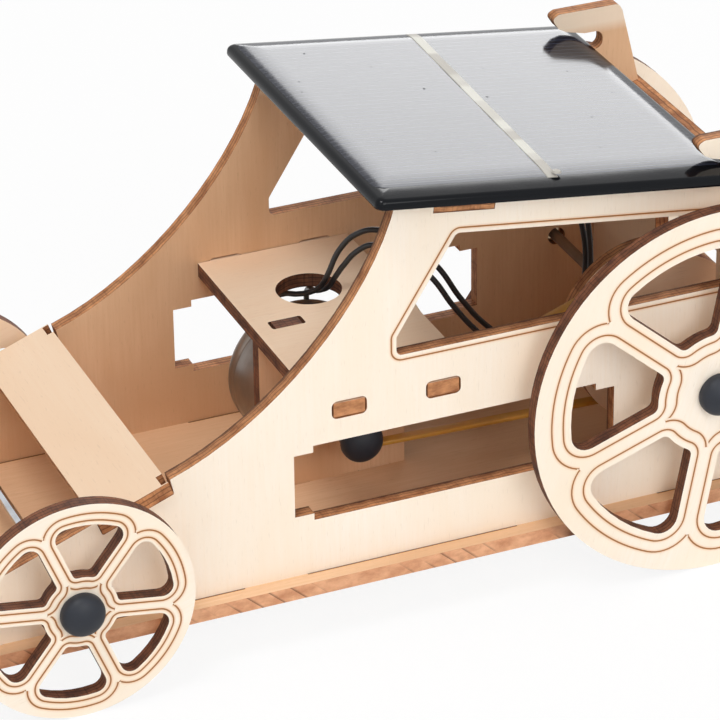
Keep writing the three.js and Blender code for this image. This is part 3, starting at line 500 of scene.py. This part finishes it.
def lathe(name, profile, x, z, finish, body, steps=96, smooth=35):
    # profile is [radius, y] in millimetres, turned about an axis along y through x, z
    points, faces, rows = [], [], []
    for radius, y in profile:
        if radius <= 0:
            rows.append([len(points)])
            points.append(Vector((x, y, z)) * mm)
            continue
        rows.append(list(range(len(points), len(points) + steps)))
        for step in range(steps):
            angle = 2 * math.pi * step / steps
            points.append(Vector((x + radius * math.cos(angle), y, z + radius * math.sin(angle))) * mm)
    for first, second in zip(rows, rows[1:]):
        for step in range(steps):
            corners = [first[step % len(first)], first[(step + 1) % len(first)],
                       second[(step + 1) % len(second)], second[step % len(second)]]
            faces.append(tuple(dict.fromkeys(corners)))
    return meshPiece(name, points, [face for face in faces if len(face) > 2], finish, body, smooth)


def arc(x, y, radius, start, sweep, steps):
    # points of an arc, by its centre, its first angle and its sweep in degrees
    return [(x + radius * math.cos(degrees(start + sweep * step / steps)),
             y + radius * math.sin(degrees(start + sweep * step / steps))) for step in range(steps + 1)]


def roundedRectangle(u0, y0, u1, y1, radius, steps=8):
    loop = []
    for cu, cy, start in ((u1 - radius, y1 - radius, 0), (u0 + radius, y1 - radius, 90),
                          (u0 + radius, y0 + radius, 180), (u1 - radius, y0 + radius, 270)):
        loop += arc(cu, cy, radius, start, 90, steps)
    return loop


def ringFaces(rings, count, closed=False):
    # the faces between neighbouring rings of count points each
    faces = []
    for ring in range(rings if closed else rings - 1):
        here, there = ring * count, (ring + 1) % rings * count
        for step in range(count):
            following = (step + 1) % count
            faces.append((here + step, here + following, there + following, there + step))
    return faces


def slab(name, loops, finish, smooth):
    # closes a stack of equal loops into one body
    points = [place for loop in loops for place in loop]
    count = len(loops[0])
    faces = ringFaces(len(loops), count)
    faces += [tuple(reversed(range(count))), tuple(range(len(points) - count, len(points)))]
    return meshPiece(name, points, faces, finish, "body", smooth)


# rubber caps on the ends of the axles and of the motor's shaft
caps = dict(
    radius=4.5, height=4.0, rim=1.1, steps=18, shine=0.3,
    colour=colour(42, 45, 52),
    # x, z, y of the foot, the side that it points to, body, bore and its depth
    places=dict(
        rear_cap_near=(rearX, rearZ, -44.3, -1, "rear_wheels", 1.3, 2.4),
        rear_cap_far=(rearX, rearZ, 44.3, 1, "rear_wheels", 1.3, 2.4),
        front_cap_near=(frontX, frontZ, -44.3, -1, "front_wheels", 1.15, 2.4),
        front_cap_far=(frontX, frontZ, 44.3, 1, "front_wheels", 1.15, 2.4),
        motor_cap=(motorX, motorZ, -15.1, -1, "motor_rotor", 1.85, 1.8),
    ),
)


def addCaps():
    finish = wear("capRubber", caps["colour"], roughness=0.5, roughSpread=0.05, scale=300.0)
    shaderOf(finish).inputs["Specular IOR Level"].default_value = caps["shine"]
    radius, rim, steps = caps["radius"], caps["rim"], caps["steps"]
    for name, (x, z, footY, side, body, bore, boreDepth) in caps["places"].items():
        profile = [(0, boreDepth), (bore, boreDepth), (bore, 0.25), (bore + 0.25, 0),
                   (radius - 0.3, 0), (radius - 0.08, 0.08), (radius, 0.3)]
        for step in range(steps + 1):
            angle = degrees(90 * step / steps)
            profile.append((radius * math.cos(angle) if step < steps else 0,
                            rim + (caps["height"] - rim) * math.sin(angle)))
        placed = [(reach, footY + side * y) for reach, y in profile]
        cap = lathe(name + "_dome", placed, x, z, finish, body, steps=72, smooth=50)
        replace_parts(cap, name)
    print("caps: five domed rubber caps")


addCaps()


# axles, motor and its small pulley; each profile is a list of [radius, y]
drive = dict(
    steel=colour(200, 203, 208),
    dull=colour(140, 118, 98),
    dullMetal=0.35,
    can=colour(150, 141, 133),
    plastic=colour(226, 223, 214),
    brass=colour(205, 166, 84),
    # radius and the two ends of each rod
    frontAxle=(1.0, -46.55, 46.55), rearAxle=(1.15, -46.55, 46.55), shaft=(1.0, -16.6, 4.85),
    canRound=1.6, canInner=13.9, canFace=1.7, canBack=20.1,
    boss=[(0, 5.0), (1.15, 5.0), (1.15, -3.7), (1.5, -4.0), (4.2, -4.0), (4.6, -3.6), (4.6, 1.4), (4.9, 1.7)],
    rim=[(15.5, 15.6), (15.35, 15.8), (15.35, 16.2), (15.5, 16.4)],
    recess=[(12.55, 20.1), (12.55, 19.3), (0, 19.3)],
    pulley=[(1.15, -16.45), (1.6, -16.45), (1.7, -16.3), (1.7, -15.2), (1.75, -14.9), (1.75, -12.6),
            (3.35, -12.4), (3.6, -12.2), (3.6, -11.65), (3.4, -11.4), (1.7, -11.4), (1.7, -11.15),
            (1.6, -11.05), (1.15, -11.05), (1.15, -16.45)],
    lid=[(0, 19.4), (12.1, 19.4), (12.4, 19.7), (12.4, 20.7), (12.1, 21.0), (10.6, 21.0), (10.3, 20.7),
         (5.2, 20.7), (4.9, 21.0), (0, 21.0)],
)


def turnedMetal(name, base, roughness, lines=5200.0):
    # fine turning lines run round the y axis
    material, tree, shader, point = newMaterial(name)
    rings = noise(tree, stretched(tree, point, mainAxes, (60, lines, 60)), detail=2)
    smear = noise(tree, point, scale=160, detail=4)
    tree.links.new(ramp(tree, smear, (0.3, shaded(base, 0.72)), (0.62, base)), shader.inputs["Base Color"])
    tree.links.new(ramp(tree, smear, (0.3, roughness + 0.14), (0.7, roughness)), shader.inputs["Roughness"])
    tree.links.new(bump(tree, rings, 0.12, 0.00002), shader.inputs["Normal"])
    shader.inputs["Metallic"].default_value = 1.0
    return material


def addRod(node, size, x, z, finish, body):
    radius, low, high = size
    soft = min(0.25, radius * 0.3)
    profile = [(0, low), (radius - soft, low), (radius, low + soft), (radius, high - soft),
               (radius - soft, high), (0, high)]
    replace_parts(lathe(node + "_rod", profile, x, z, finish, body, steps=48, smooth=40), node)


def addDrive():
    steel = turnedMetal("polishedSteel", drive["steel"], 0.08)
    can = turnedMetal("motorCan", drive["can"], 0.34, lines=2600.0)
    dull = turnedMetal("dullRod", drive["dull"], 0.42)
    shaderOf(dull).inputs["Metallic"].default_value = drive["dullMetal"]
    plastic = wear("endCapPlastic", drive["plastic"], spread=0.05, roughness=0.4)
    brass = wear("terminalBrass", drive["brass"], roughness=0.3, metallic=1.0)
    addRod("front_axle", drive["frontAxle"], frontX, frontZ, steel, "front_wheels")
    addRod("rear_axle", drive["rearAxle"], rearX, rearZ, dull, "rear_wheels")
    addRod("motor_shaft", drive["shaft"], motorX, motorZ, steel, "motor_rotor")

    # the can: a rounded drum with a pressed rim and a boss round the shaft
    inner, soft = drive["canInner"], drive["canRound"]
    drum = drive["boss"] + arc(inner, drive["canFace"] + soft, soft, -90, 90, 6) + drive["rim"]
    drum += arc(inner, drive["canBack"] - soft, soft, 0, 90, 6) + drive["recess"]
    for node, name, profile, finish, body, slot, steps, smooth in (
            ("motor_can", "motor_drum", drum, can, "body", "bright_steel", 120, 40),
            ("motor_pulley", "motor_pulley_turned", drive["pulley"], dull, "motor_rotor", "dull_steel", 64, 40),
            ("motor_end_cap", "motor_lid", drive["lid"], plastic, "body", "white_plastic", 96, 30)):
        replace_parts(lathe(name, profile, motorX, motorZ, finish, body, steps, smooth), node)
    for node in ("motor_terminal_a", "motor_terminal_b"):
        dress(node, brass)
    print("drive: axles, motor and small pulley")


addDrive()


# rubber band: a rounded strip on the outer tangents of both pulleys
band = dict(
    low=-14.95, high=-12.55, thickness=1.0, gap=0.15, round=0.32, largeSteps=72, smallSteps=24,
    small=(motorX, motorZ, 1.7), large=(rearX, rearZ, 14.2),
    colour=colour(205, 150, 62), glow=0.35, glowDepth=0.0012, glowTone=(1.0, 0.5, 0.15),
)


def addBand():
    (smallX, smallZ, smallRadius), (largeX, largeZ, largeRadius) = band["small"], band["large"]
    small, large = smallRadius + band["gap"], largeRadius + band["gap"]
    reach = math.hypot(largeX - smallX, largeZ - smallZ)
    heading = math.degrees(math.atan2(largeZ - smallZ, largeX - smallX))
    lift = math.degrees(math.asin((large - small) / reach))
    section = roundedRectangle(0, 0, band["high"] - band["low"], band["thickness"], band["round"], 4)
    points = []
    for x, z, radius, start, sweep, steps in (
            (largeX, largeZ, large, heading - 90 - lift, 180 + 2 * lift, band["largeSteps"]),
            (smallX, smallZ, small, heading + 90 + lift, 180 - 2 * lift, band["smallSteps"])):
        for hereX, hereZ in arc(x, z, radius, start, sweep, steps):
            angle = math.atan2(hereZ - z, hereX - x)
            outX, outZ = math.cos(angle), math.sin(angle)
            points += [Vector((hereX + out * outX, band["low"] + y, hereZ + out * outZ)) * mm
                       for y, out in section]
    faces = ringFaces(len(points) // len(section), len(section), closed=True)
    finish = wear("amberRubber", band["colour"], spread=0.1, roughness=0.4, scale=120.0)
    shader = shaderOf(finish)
    shader.inputs["Subsurface Weight"].default_value = band["glow"]
    shader.inputs["Subsurface Scale"].default_value = band["glowDepth"]
    shader.inputs["Subsurface Radius"].default_value = band["glowTone"]
    loop = meshPiece("drive_band_loop", points, faces, finish, "body", smooth=60)
    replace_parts(loop, "drive_band")
    print("band: one loop round both pulleys")


addBand()


# lines burnt into the wheels, round the windows and along the seams, as thin ribbons just above a face
# layerStep and windowStep keep lines that meet from lying level
lines = dict(lift=0.015, layerStep=0.006, windowStep=0.02, halo=0.62, core=0.1, burn=0.84,
             cornerSteps=14, hubSteps=8)
spokes, spokeAngle = 6, 60
# every window has one line round it, and a second one in two parts: along the rim and round the hub
wheels = dict(
    rear=dict(x=rearX, z=rearZ, turns=dict(near=19.2, far=55.5), split=21.0, body="rear_wheels", loops=[
        dict(outer=34.53, hub=11.83, half=1.56, outerRound=5.32, innerRound=3.28),
        dict(outer=37.05, hub=13.45, half=-1.07, outerRound=7.8, innerRound=1.6, keep="rim"),
        dict(outer=32.83, hub=9.3, half=-0.03, outerRound=3.6, innerRound=4.82, keep="hub"),
    ]),
    front=dict(x=frontX, z=frontZ, turns=dict(near=51.4, far=51.4), split=12.0, body="front_wheels", loops=[
        dict(outer=20.1, hub=6.81, half=0.93, outerRound=3.2, innerRound=1.86),
        dict(outer=21.65, hub=7.7, half=-0.65, outerRound=4.73, innerRound=1.0, keep="rim"),
        dict(outer=19.15, hub=5.3, half=-0.05, outerRound=2.2, innerRound=2.8, keep="hub"),
    ]),
)


def newStrips():
    return dict(points=[], faces=[], scorch=[])


def ribbon(strips, route, closed, normal, lift=lines["lift"], burn=lines["burn"], core=lines["core"]):
    # adds one ribbon along a route of millimetre points, lying on a face with that normal
    normal = Vector(normal)
    count, start = len(route), len(strips["points"])
    halo = lines["halo"]
    offsets = ((-halo, 0.0), (-halo * 0.5, 0.28), (-core * 2, 0.4), (-core, burn * 0.9), (0.0, burn),
               (core, burn * 0.9), (core * 2, 0.4), (halo * 0.5, 0.28), (halo, 0.0))
    wide = len(offsets)
    for index, place in enumerate(route):
        before = route[(index - 1) % count] if closed or index else route[0]
        after = route[(index + 1) % count] if closed or index < count - 1 else route[-1]
        across = normal.cross(after - before).normalized()
        strips["points"] += [(place + across * offset + normal * lift) * mm for offset, depth in offsets]
        strips["scorch"] += [depth for offset, depth in offsets]
    for index in range(count if closed else count - 1):
        here, there = start + index * wide, start + (index + 1) % count * wide
        strips["faces"] += [(here + step, there + step, there + step + 1, here + step + 1)
                            for step in range(wide - 1)]


def windowLoop(wheel, form, turn):
    # a rounded window of a wheel between two spoke axes, the first at the angle turn
    outerReach, hubReach = form["outer"] - form["outerRound"], form["hub"] + form["innerRound"]
    outerLean = math.degrees(math.asin((form["half"] + form["outerRound"]) / outerReach))
    hubLean = math.degrees(math.asin((form["half"] + form["innerRound"]) / hubReach))
    first, last = turn, turn + spokeAngle
    steps = lines["cornerSteps"]

    def corner(reach, angle, radius, start, sweep):
        x = wheel["x"] + reach * math.cos(degrees(angle))
        z = wheel["z"] + reach * math.sin(degrees(angle))
        return arc(x, z, radius, start, sweep, steps)

    loop = corner(hubReach, first + hubLean, form["innerRound"], first + hubLean + 180, 90 - hubLean)
    loop += corner(outerReach, first + outerLean, form["outerRound"], first - 90, 90 + outerLean)
    rim = spokeAngle - 2 * outerLean
    loop += arc(wheel["x"], wheel["z"], form["outer"], first + outerLean, rim, steps)[1:-1]
    loop += corner(outerReach, last - outerLean, form["outerRound"], last - outerLean, 90 + outerLean)
    loop += corner(hubReach, last - hubLean, form["innerRound"], last + 90, 90 - hubLean)
    hub = 2 * hubLean - spokeAngle
    loop += arc(wheel["x"], wheel["z"], form["hub"], last - hubLean, hub, lines["hubSteps"])[1:-1]
    return loop


def keptPoint(wheel, form, turn, place):
    # a point that stays between the two spoke axes, and on its own side of the split
    x, z = place[0] - wheel["x"], place[1] - wheel["z"]
    start, end = degrees(turn), degrees(turn + spokeAngle)
    first = z * math.cos(start) - x * math.sin(start)
    last = x * math.sin(end) - z * math.cos(end)
    reach = math.hypot(x, z)
    part = form.get("keep")
    if part == "rim" and reach < wheel["split"] or part == "hub" and reach > wheel["split"]:
        return False
    return first > 0.0 and last > 0.0


def runsInside(wheel, form, turn, loop):
    kept = [keptPoint(wheel, form, turn, place) for place in loop]
    if all(kept):
        return [(loop, True)]
    start = next(index for index in range(len(loop)) if kept[index] and not kept[index - 1])
    runs, run = [], []
    for index in range(start, start + len(loop)):
        place = loop[index % len(loop)]
        if kept[index % len(loop)]:
            run.append(place)
        elif run:
            runs.append((run, False))
            run = []
    if run:
        runs.append((run, False))
    return [entry for entry in runs if len(entry[0]) > 2]


def densify(loop, step=0.3):
    dense = []
    for index, place in enumerate(loop):
        following = loop[(index + 1) % len(loop)]
        span = math.dist(place, following)
        parts = max(1, round(span / step))
        dense += [(place[0] + (following[0] - place[0]) * part / parts,
                   place[1] + (following[1] - place[1]) * part / parts) for part in range(parts)]
    return dense


def ribbonPiece(name, strips, finish, body):
    data = bpy.data.meshes.new(name)
    data.from_pydata([tuple(point) for point in strips["points"]], [], strips["faces"])
    data.attributes.new("scorch", "FLOAT", "POINT").data.foreach_set("value", strips["scorch"])
    data.materials.append(finish)
    made = bpy.data.objects.new(name, data)
    bpy.context.scene.collection.objects.link(made)
    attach(made, body)


def addWheelLines():
    for axle, wheel in wheels.items():
        for place, side in (("near", -1), ("far", 1)):
            strips = newStrips()
            for window in range(spokes):
                turn = wheel["turns"][place] + spokeAngle * window
                for layer, form in enumerate(wheel["loops"]):
                    lift = lines["lift"] + lines["layerStep"] * layer + lines["windowStep"] * (window % 2)
                    loop = densify(windowLoop(wheel, form, turn))
                    for run, closed in runsInside(wheel, form, turn, loop):
                        route = [Vector((x, side * wheelFace, z)) for x, z in run]
                        ribbon(strips, route, closed, (0, side, 0), lift)
            node = axle + "_wheel_" + place
            ribbonPiece(node + "_lines", strips, plyFinishes[node], wheel["body"])
    print("lines: wheels")


addWheelLines()

# the window's edges: rise is the height of its upright front edge, rail the bar above it
sidePanel = dict(sill=59.5, front=22.1, rise=4.1, roofFront=35.0, rail=7.8, rear=95.998, round=1.2,
                 roofGap=0.3, lineOffset=1.1)


def roundedLoop(corners, radius):
    loop = []
    count = len(corners)
    for index, corner in enumerate(corners):
        here = Vector(corner)
        before = (Vector(corners[index - 1]) - here).normalized()
        after = (Vector(corners[(index + 1) % count]) - here).normalized()
        half = before.angle(after) / 2
        centre = here + (before + after).normalized() * (radius / math.sin(half))
        start = here + before * (radius / math.tan(half)) - centre
        end = here + after * (radius / math.tan(half)) - centre
        first = math.degrees(math.atan2(start.y, start.x))
        sweep = math.degrees(math.atan2(end.y, end.x)) - first
        sweep = (sweep + 180) % 360 - 180
        loop += arc(centre.x, centre.y, radius, first, sweep, 8)
    return loop


def pushedOut(corners, offset):
    # moves every edge of a convex outline, drawn anticlockwise, outwards
    count = len(corners)
    moved = []
    for index in range(count):
        before, here, after = (Vector(corners[(index + step) % count]) for step in (-1, 0, 1))
        first, second = (here - before).normalized(), (after - here).normalized()
        normals = Vector((first.y, -first.x)) + Vector((second.y, -second.x))
        moved.append(here + normals * (offset / (1 + first.dot(second))))
    return moved


def windowTop(x):
    # height of the window's sloping top edge
    below = (sidePanel["roofGap"] + sidePanel["rail"]) / math.cos(roofLean)
    return roofZ - (x - roofX) * math.tan(roofLean) - below


def addWindowLines():
    front, rear, sill, roofFront = (sidePanel[key] for key in ("front", "rear", "sill", "roofFront"))
    rearTop = rear - (windowTop(rear) - sill) * math.tan(backLean)
    corners = [(front, sill), (rear, sill), (rearTop, windowTop(rearTop)), (roofFront, windowTop(roofFront)),
               (front, sill + sidePanel["rise"])]
    corners = [(x + originX, z) for x, z in corners]
    offset = sidePanel["lineOffset"]
    loop = roundedLoop(pushedOut(corners, offset), sidePanel["round"] + offset)
    for place, side in (("near", -1), ("far", 1)):
        strips = newStrips()
        ribbon(strips, [Vector((x, side * panelFace, z)) for x, z in densify(loop)], True, (0, side, 0))
        node = "side_panel_" + place
        ribbonPiece(node + "_line", strips, plyFinishes[node], "body")
    print("lines: windows")


addWindowLines()


# soot on the deck where the tabs of the side panels go through it
seams = dict(
    top=14.4, outer=35.2, inner=31.85, spans=[(-40.0, -11.1), (2.4, 48.3), (80.1, 104.1)],
    step=2.0, burn=1.0, core=0.14,
)


def addSeams():
    strips = newStrips()
    for first, last in seams["spans"]:
        steps = max(2, round((last - first) / seams["step"]))
        for side in (-1, 1):
            for y in (seams["outer"], seams["inner"]):
                route = [Vector((first + originX + (last - first) * step / steps, side * y, seams["top"]))
                         for step in range(steps + 1)]
                ribbon(strips, route, False, (0, 0, 1), burn=seams["burn"], core=seams["core"])
    ribbonPiece("deck_seams", strips, plyFinishes["base_plate"], "body")
    print("lines: seams of the deck")


addSeams()


# solar panel: a slab of black resin whose clear top falls away to its edges, the cell just under it
panel = dict(
    length=79.1, width=80.3, underFront=(roofX + originX, roofZ), corner=1.6, leastCorner=0.5, cornerLoss=0.3,
    side=[(0.5, 0.0), (0.12, 0.12), (0.0, 0.45), (0.0, 1.2), (0.12, 1.62), (0.36, 1.98), (0.7, 2.22)],
    brow=(0.7, 2.22),  # where the domed top starts: inset and height
    crown=2.93,
    insets=[1.0, 1.4, 1.9, 2.5, 3.2, 4.0, 5.0, 6.2, 7.5],
    reach=dict(front=5.5, rear=5.0, near=10.0, far=5.0),  # how far in from each edge the top is domed
    borders=dict(front=1.5, rear=1.8, near=4.9, far=1.4),
    cellCorner=2.6, cellDepth=0.3, cellLift=0.012,
    cellInsets=[0, 0.4, 0.9, 1.5, 2.2, 3.0, 4.0, 5.2, 6.6],
    fingersPerMetre=560.0,
    ribbon=dict(far=41.4, near=39.0, wide=2.3, high=0.14, bevel=0.1, lift=0.01, over=0.6, steps=60,
                bulge=0.03, waves=23, wobble=0.01, tone=colour(216, 214, 204)),
    speckCorners=9, speckLift=0.05,
    # how far down the slope, how far across it, and size
    specks=[(31.35, 9.41, 0.32), (42.81, 3.55, 0.3), (5.36, 11.59, 0.22), (6.77, 16.62, 0.2),
            (13.63, 30.63, 0.24), (20.4, -21.0, 0.16), (60.2, -9.5, 0.2), (66.0, 14.0, 0.22),
            (25.0, 22.0, 0.14), (48.5, 18.0, 0.14), (70.5, 2.0, 0.15), (12.0, -14.0, 0.15),
            (55.0, -24.0, 0.16)],
)


def smoothFall(share):
    return (1 - min(1, max(0, share))) ** 2


def topHeight(u, y):
    # height of the clear top over the underside
    half = panel["width"] / 2
    inset, low = panel["brow"]
    reach = panel["reach"]
    falls = [
        smoothFall((u - inset) / reach["front"]), smoothFall((panel["length"] - u - inset) / reach["rear"]),
        smoothFall((y + half - inset) / reach["near"]), smoothFall((half - y - inset) / reach["far"]),
    ]
    return panel["crown"] - (panel["crown"] - low) * max(falls)


def panelPoint(u, y, height):
    # u runs down the slope from the front edge, height stands on the underside
    x, z = panel["underFront"]
    return Vector((
        x + u * math.cos(roofLean) + height * math.sin(roofLean),
        y,
        z - u * math.sin(roofLean) + height * math.cos(roofLean),
    )) * mm


def addRipple(tree, shader, point, strength):
    # the clear top isn't quite flat
    ripple = noise(tree, point, scale=110, detail=2)
    tree.links.new(bump(tree, ripple, strength, 0.0004), shader.inputs["Normal"])


def resinMaterial():
    material, tree, shader, point = newMaterial("blackResin")
    cloud = noise(tree, point, scale=60, detail=3)
    tone = ramp(tree, cloud, (0.3, colour(7, 9, 13)), (0.7, colour(12, 15, 20)))
    tree.links.new(tone, shader.inputs["Base Color"])
    tree.links.new(ramp(tree, cloud, (0.3, 0.14), (0.7, 0.09)), shader.inputs["Roughness"])
    shader.inputs["Specular IOR Level"].default_value = 0.16
    addRipple(tree, shader, point, 0.05)
    return material


def cellMaterial():
    # thin conductor fingers and saw marks under the clear top
    material, tree, shader, point = newMaterial("siliconCell")
    place = calc(tree, "MULTIPLY", along(tree, point, sideways), panel["fingersPerMetre"])
    finger = ramp(tree, calc(tree, "FRACT", place), (0.0, 1.0), (0.07, 0.0), (0.93, 0.0), (1.0, 1.0))
    saw = noise(tree, stretched(tree, point, mainAxes, (25, 1500, 25)), detail=3)
    cloud = noise(tree, point, scale=45, detail=3)
    base = ramp(tree, cloud, (0.3, colour(26, 28, 38)), (0.7, colour(34, 36, 47)))
    base = blend(tree, ramp(tree, saw, (0.35, 0.0), (0.75, 0.5)), base, colour(50, 53, 66))
    base = blend(tree, calc(tree, "MULTIPLY", finger, 0.35), base, colour(120, 122, 130))
    tree.links.new(base, shader.inputs["Base Color"])
    tree.links.new(ramp(tree, saw, (0.3, 0.1), (0.7, 0.15)), shader.inputs["Roughness"])
    shader.inputs["Specular IOR Level"].default_value = 0.15
    shader.inputs["Specular Tint"].default_value = (0.93, 0.95, 1.0, 1.0)
    addRipple(tree, shader, point, 0.03)
    return material


def insetRectangle(u0, y0, u1, y1, radius, inset):
    tighter = max(panel["leastCorner"], radius - inset * panel["cornerLoss"])
    return roundedRectangle(u0 + inset, y0 + inset, u1 - inset, y1 - inset, tighter)


def nested(u0, y0, u1, y1, radius, insets, lift):
    # rounded rectangles, one inside the other, on the clear top
    loops = []
    for inset in insets:
        loop = insetRectangle(u0, y0, u1, y1, radius, inset)
        loops.append([panelPoint(u, y, topHeight(u, y) + lift) for u, y in loop])
    return loops


def addPanel():
    half = panel["width"] / 2
    loops = []
    outline = (0, -half, panel["length"], half)
    for inset, height in panel["side"]:
        loop = insetRectangle(*outline, panel["corner"], inset)
        loops.append([panelPoint(u, y, height) for u, y in loop])
    loops += nested(*outline, panel["corner"], panel["insets"], 0)
    resin = slab("panel_resin", loops, resinMaterial(), 50)
    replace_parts(resin, "solar_board")

    border, corner = panel["borders"], panel["cellCorner"]
    sides = (border["front"], -half + border["near"], panel["length"] - border["rear"], half - border["far"])
    loops = nested(*sides, corner, [0], -panel["cellDepth"])
    loops += nested(*sides, corner, panel["cellInsets"], panel["cellLift"])
    cell = slab("panel_cell", loops, cellMaterial(), 40)
    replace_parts(cell, "solar_cell")
    print("panel: resin slab and cell")


addPanel()


def addSpecks():
    # dust and pits under the clear top
    dust = wear("dust", colour(30, 30, 36), roughness=0.6, scale=900.0)
    chance = random.Random(11)
    corners = panel["speckCorners"]
    points, faces = [], []
    for u, y, size in panel["specks"]:
        first = len(points) + 1
        middle = topHeight(u, y) + panel["speckLift"]
        points.append(panelPoint(u, y, middle + panel["speckLift"]))
        for step in range(corners):
            angle = 2 * math.pi * step / corners
            reach = size * chance.uniform(0.6, 1.1)
            points.append(panelPoint(u + reach * math.cos(angle), y + reach * math.sin(angle), middle))
        faces += [(first - 1, first + step, first + (step + 1) % corners) for step in range(corners)]
        faces.append(tuple(range(first, first + corners)))
    meshPiece("panel_specks", points, faces, dust, "body")
    print("panel: specks")


addSpecks()


def tinMaterial():
    # tinned metal with stretches of grey-brown
    tin = wear("tinnedRibbon", panel["ribbon"]["tone"], spread=0.05, roughness=0.5, scale=130.0)
    tree, shader = tin.node_tree, shaderOf(tin)
    shader.inputs["Specular IOR Level"].default_value = 0.15
    point = addNode(tree, "TexCoord").outputs["Object"]
    stretch = noise(tree, stretched(tree, point, (sideways,), (75,)), detail=1)
    plain = shader.inputs["Base Color"].links[0].from_socket
    tone = blend(tree, ramp(tree, stretch, (0.47, 0.0), (0.53, 0.55)), plain, colour(150, 142, 134))
    tree.links.new(tone, shader.inputs["Base Color"])
    return tin


def addRibbon():
    strip = panel["ribbon"]
    tin = tinMaterial()
    half, wide, steps = panel["width"] / 2, strip["wide"] / 2, strip["steps"]
    nearY, farY = -half + panel["borders"]["near"] - strip["over"], half - panel["borders"]["far"]
    chance = random.Random(4)
    rows = []
    for step in range(steps + 1):
        share = step / steps
        y = farY + (nearY - farY) * share
        middle = strip["far"] + (strip["near"] - strip["far"]) * share
        low = topHeight(middle, y) + strip["lift"]
        high = low + strip["high"] + strip["bulge"] * math.sin(share * strip["waves"])
        high += chance.uniform(-strip["wobble"], strip["wobble"])
        rows.append([panelPoint(middle - wide, y, low), panelPoint(middle - wide + strip["bevel"], y, high),
                     panelPoint(middle + wide - strip["bevel"], y, high), panelPoint(middle + wide, y, low)])
    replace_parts(slab("panel_ribbon", rows, tin, 30), "cell_ribbon")
    for node in ("ribbon_solder", "panel_pad_a", "panel_pad_b"):
        dress(node, tin)
    print("panel: tinned ribbon")


addRibbon()
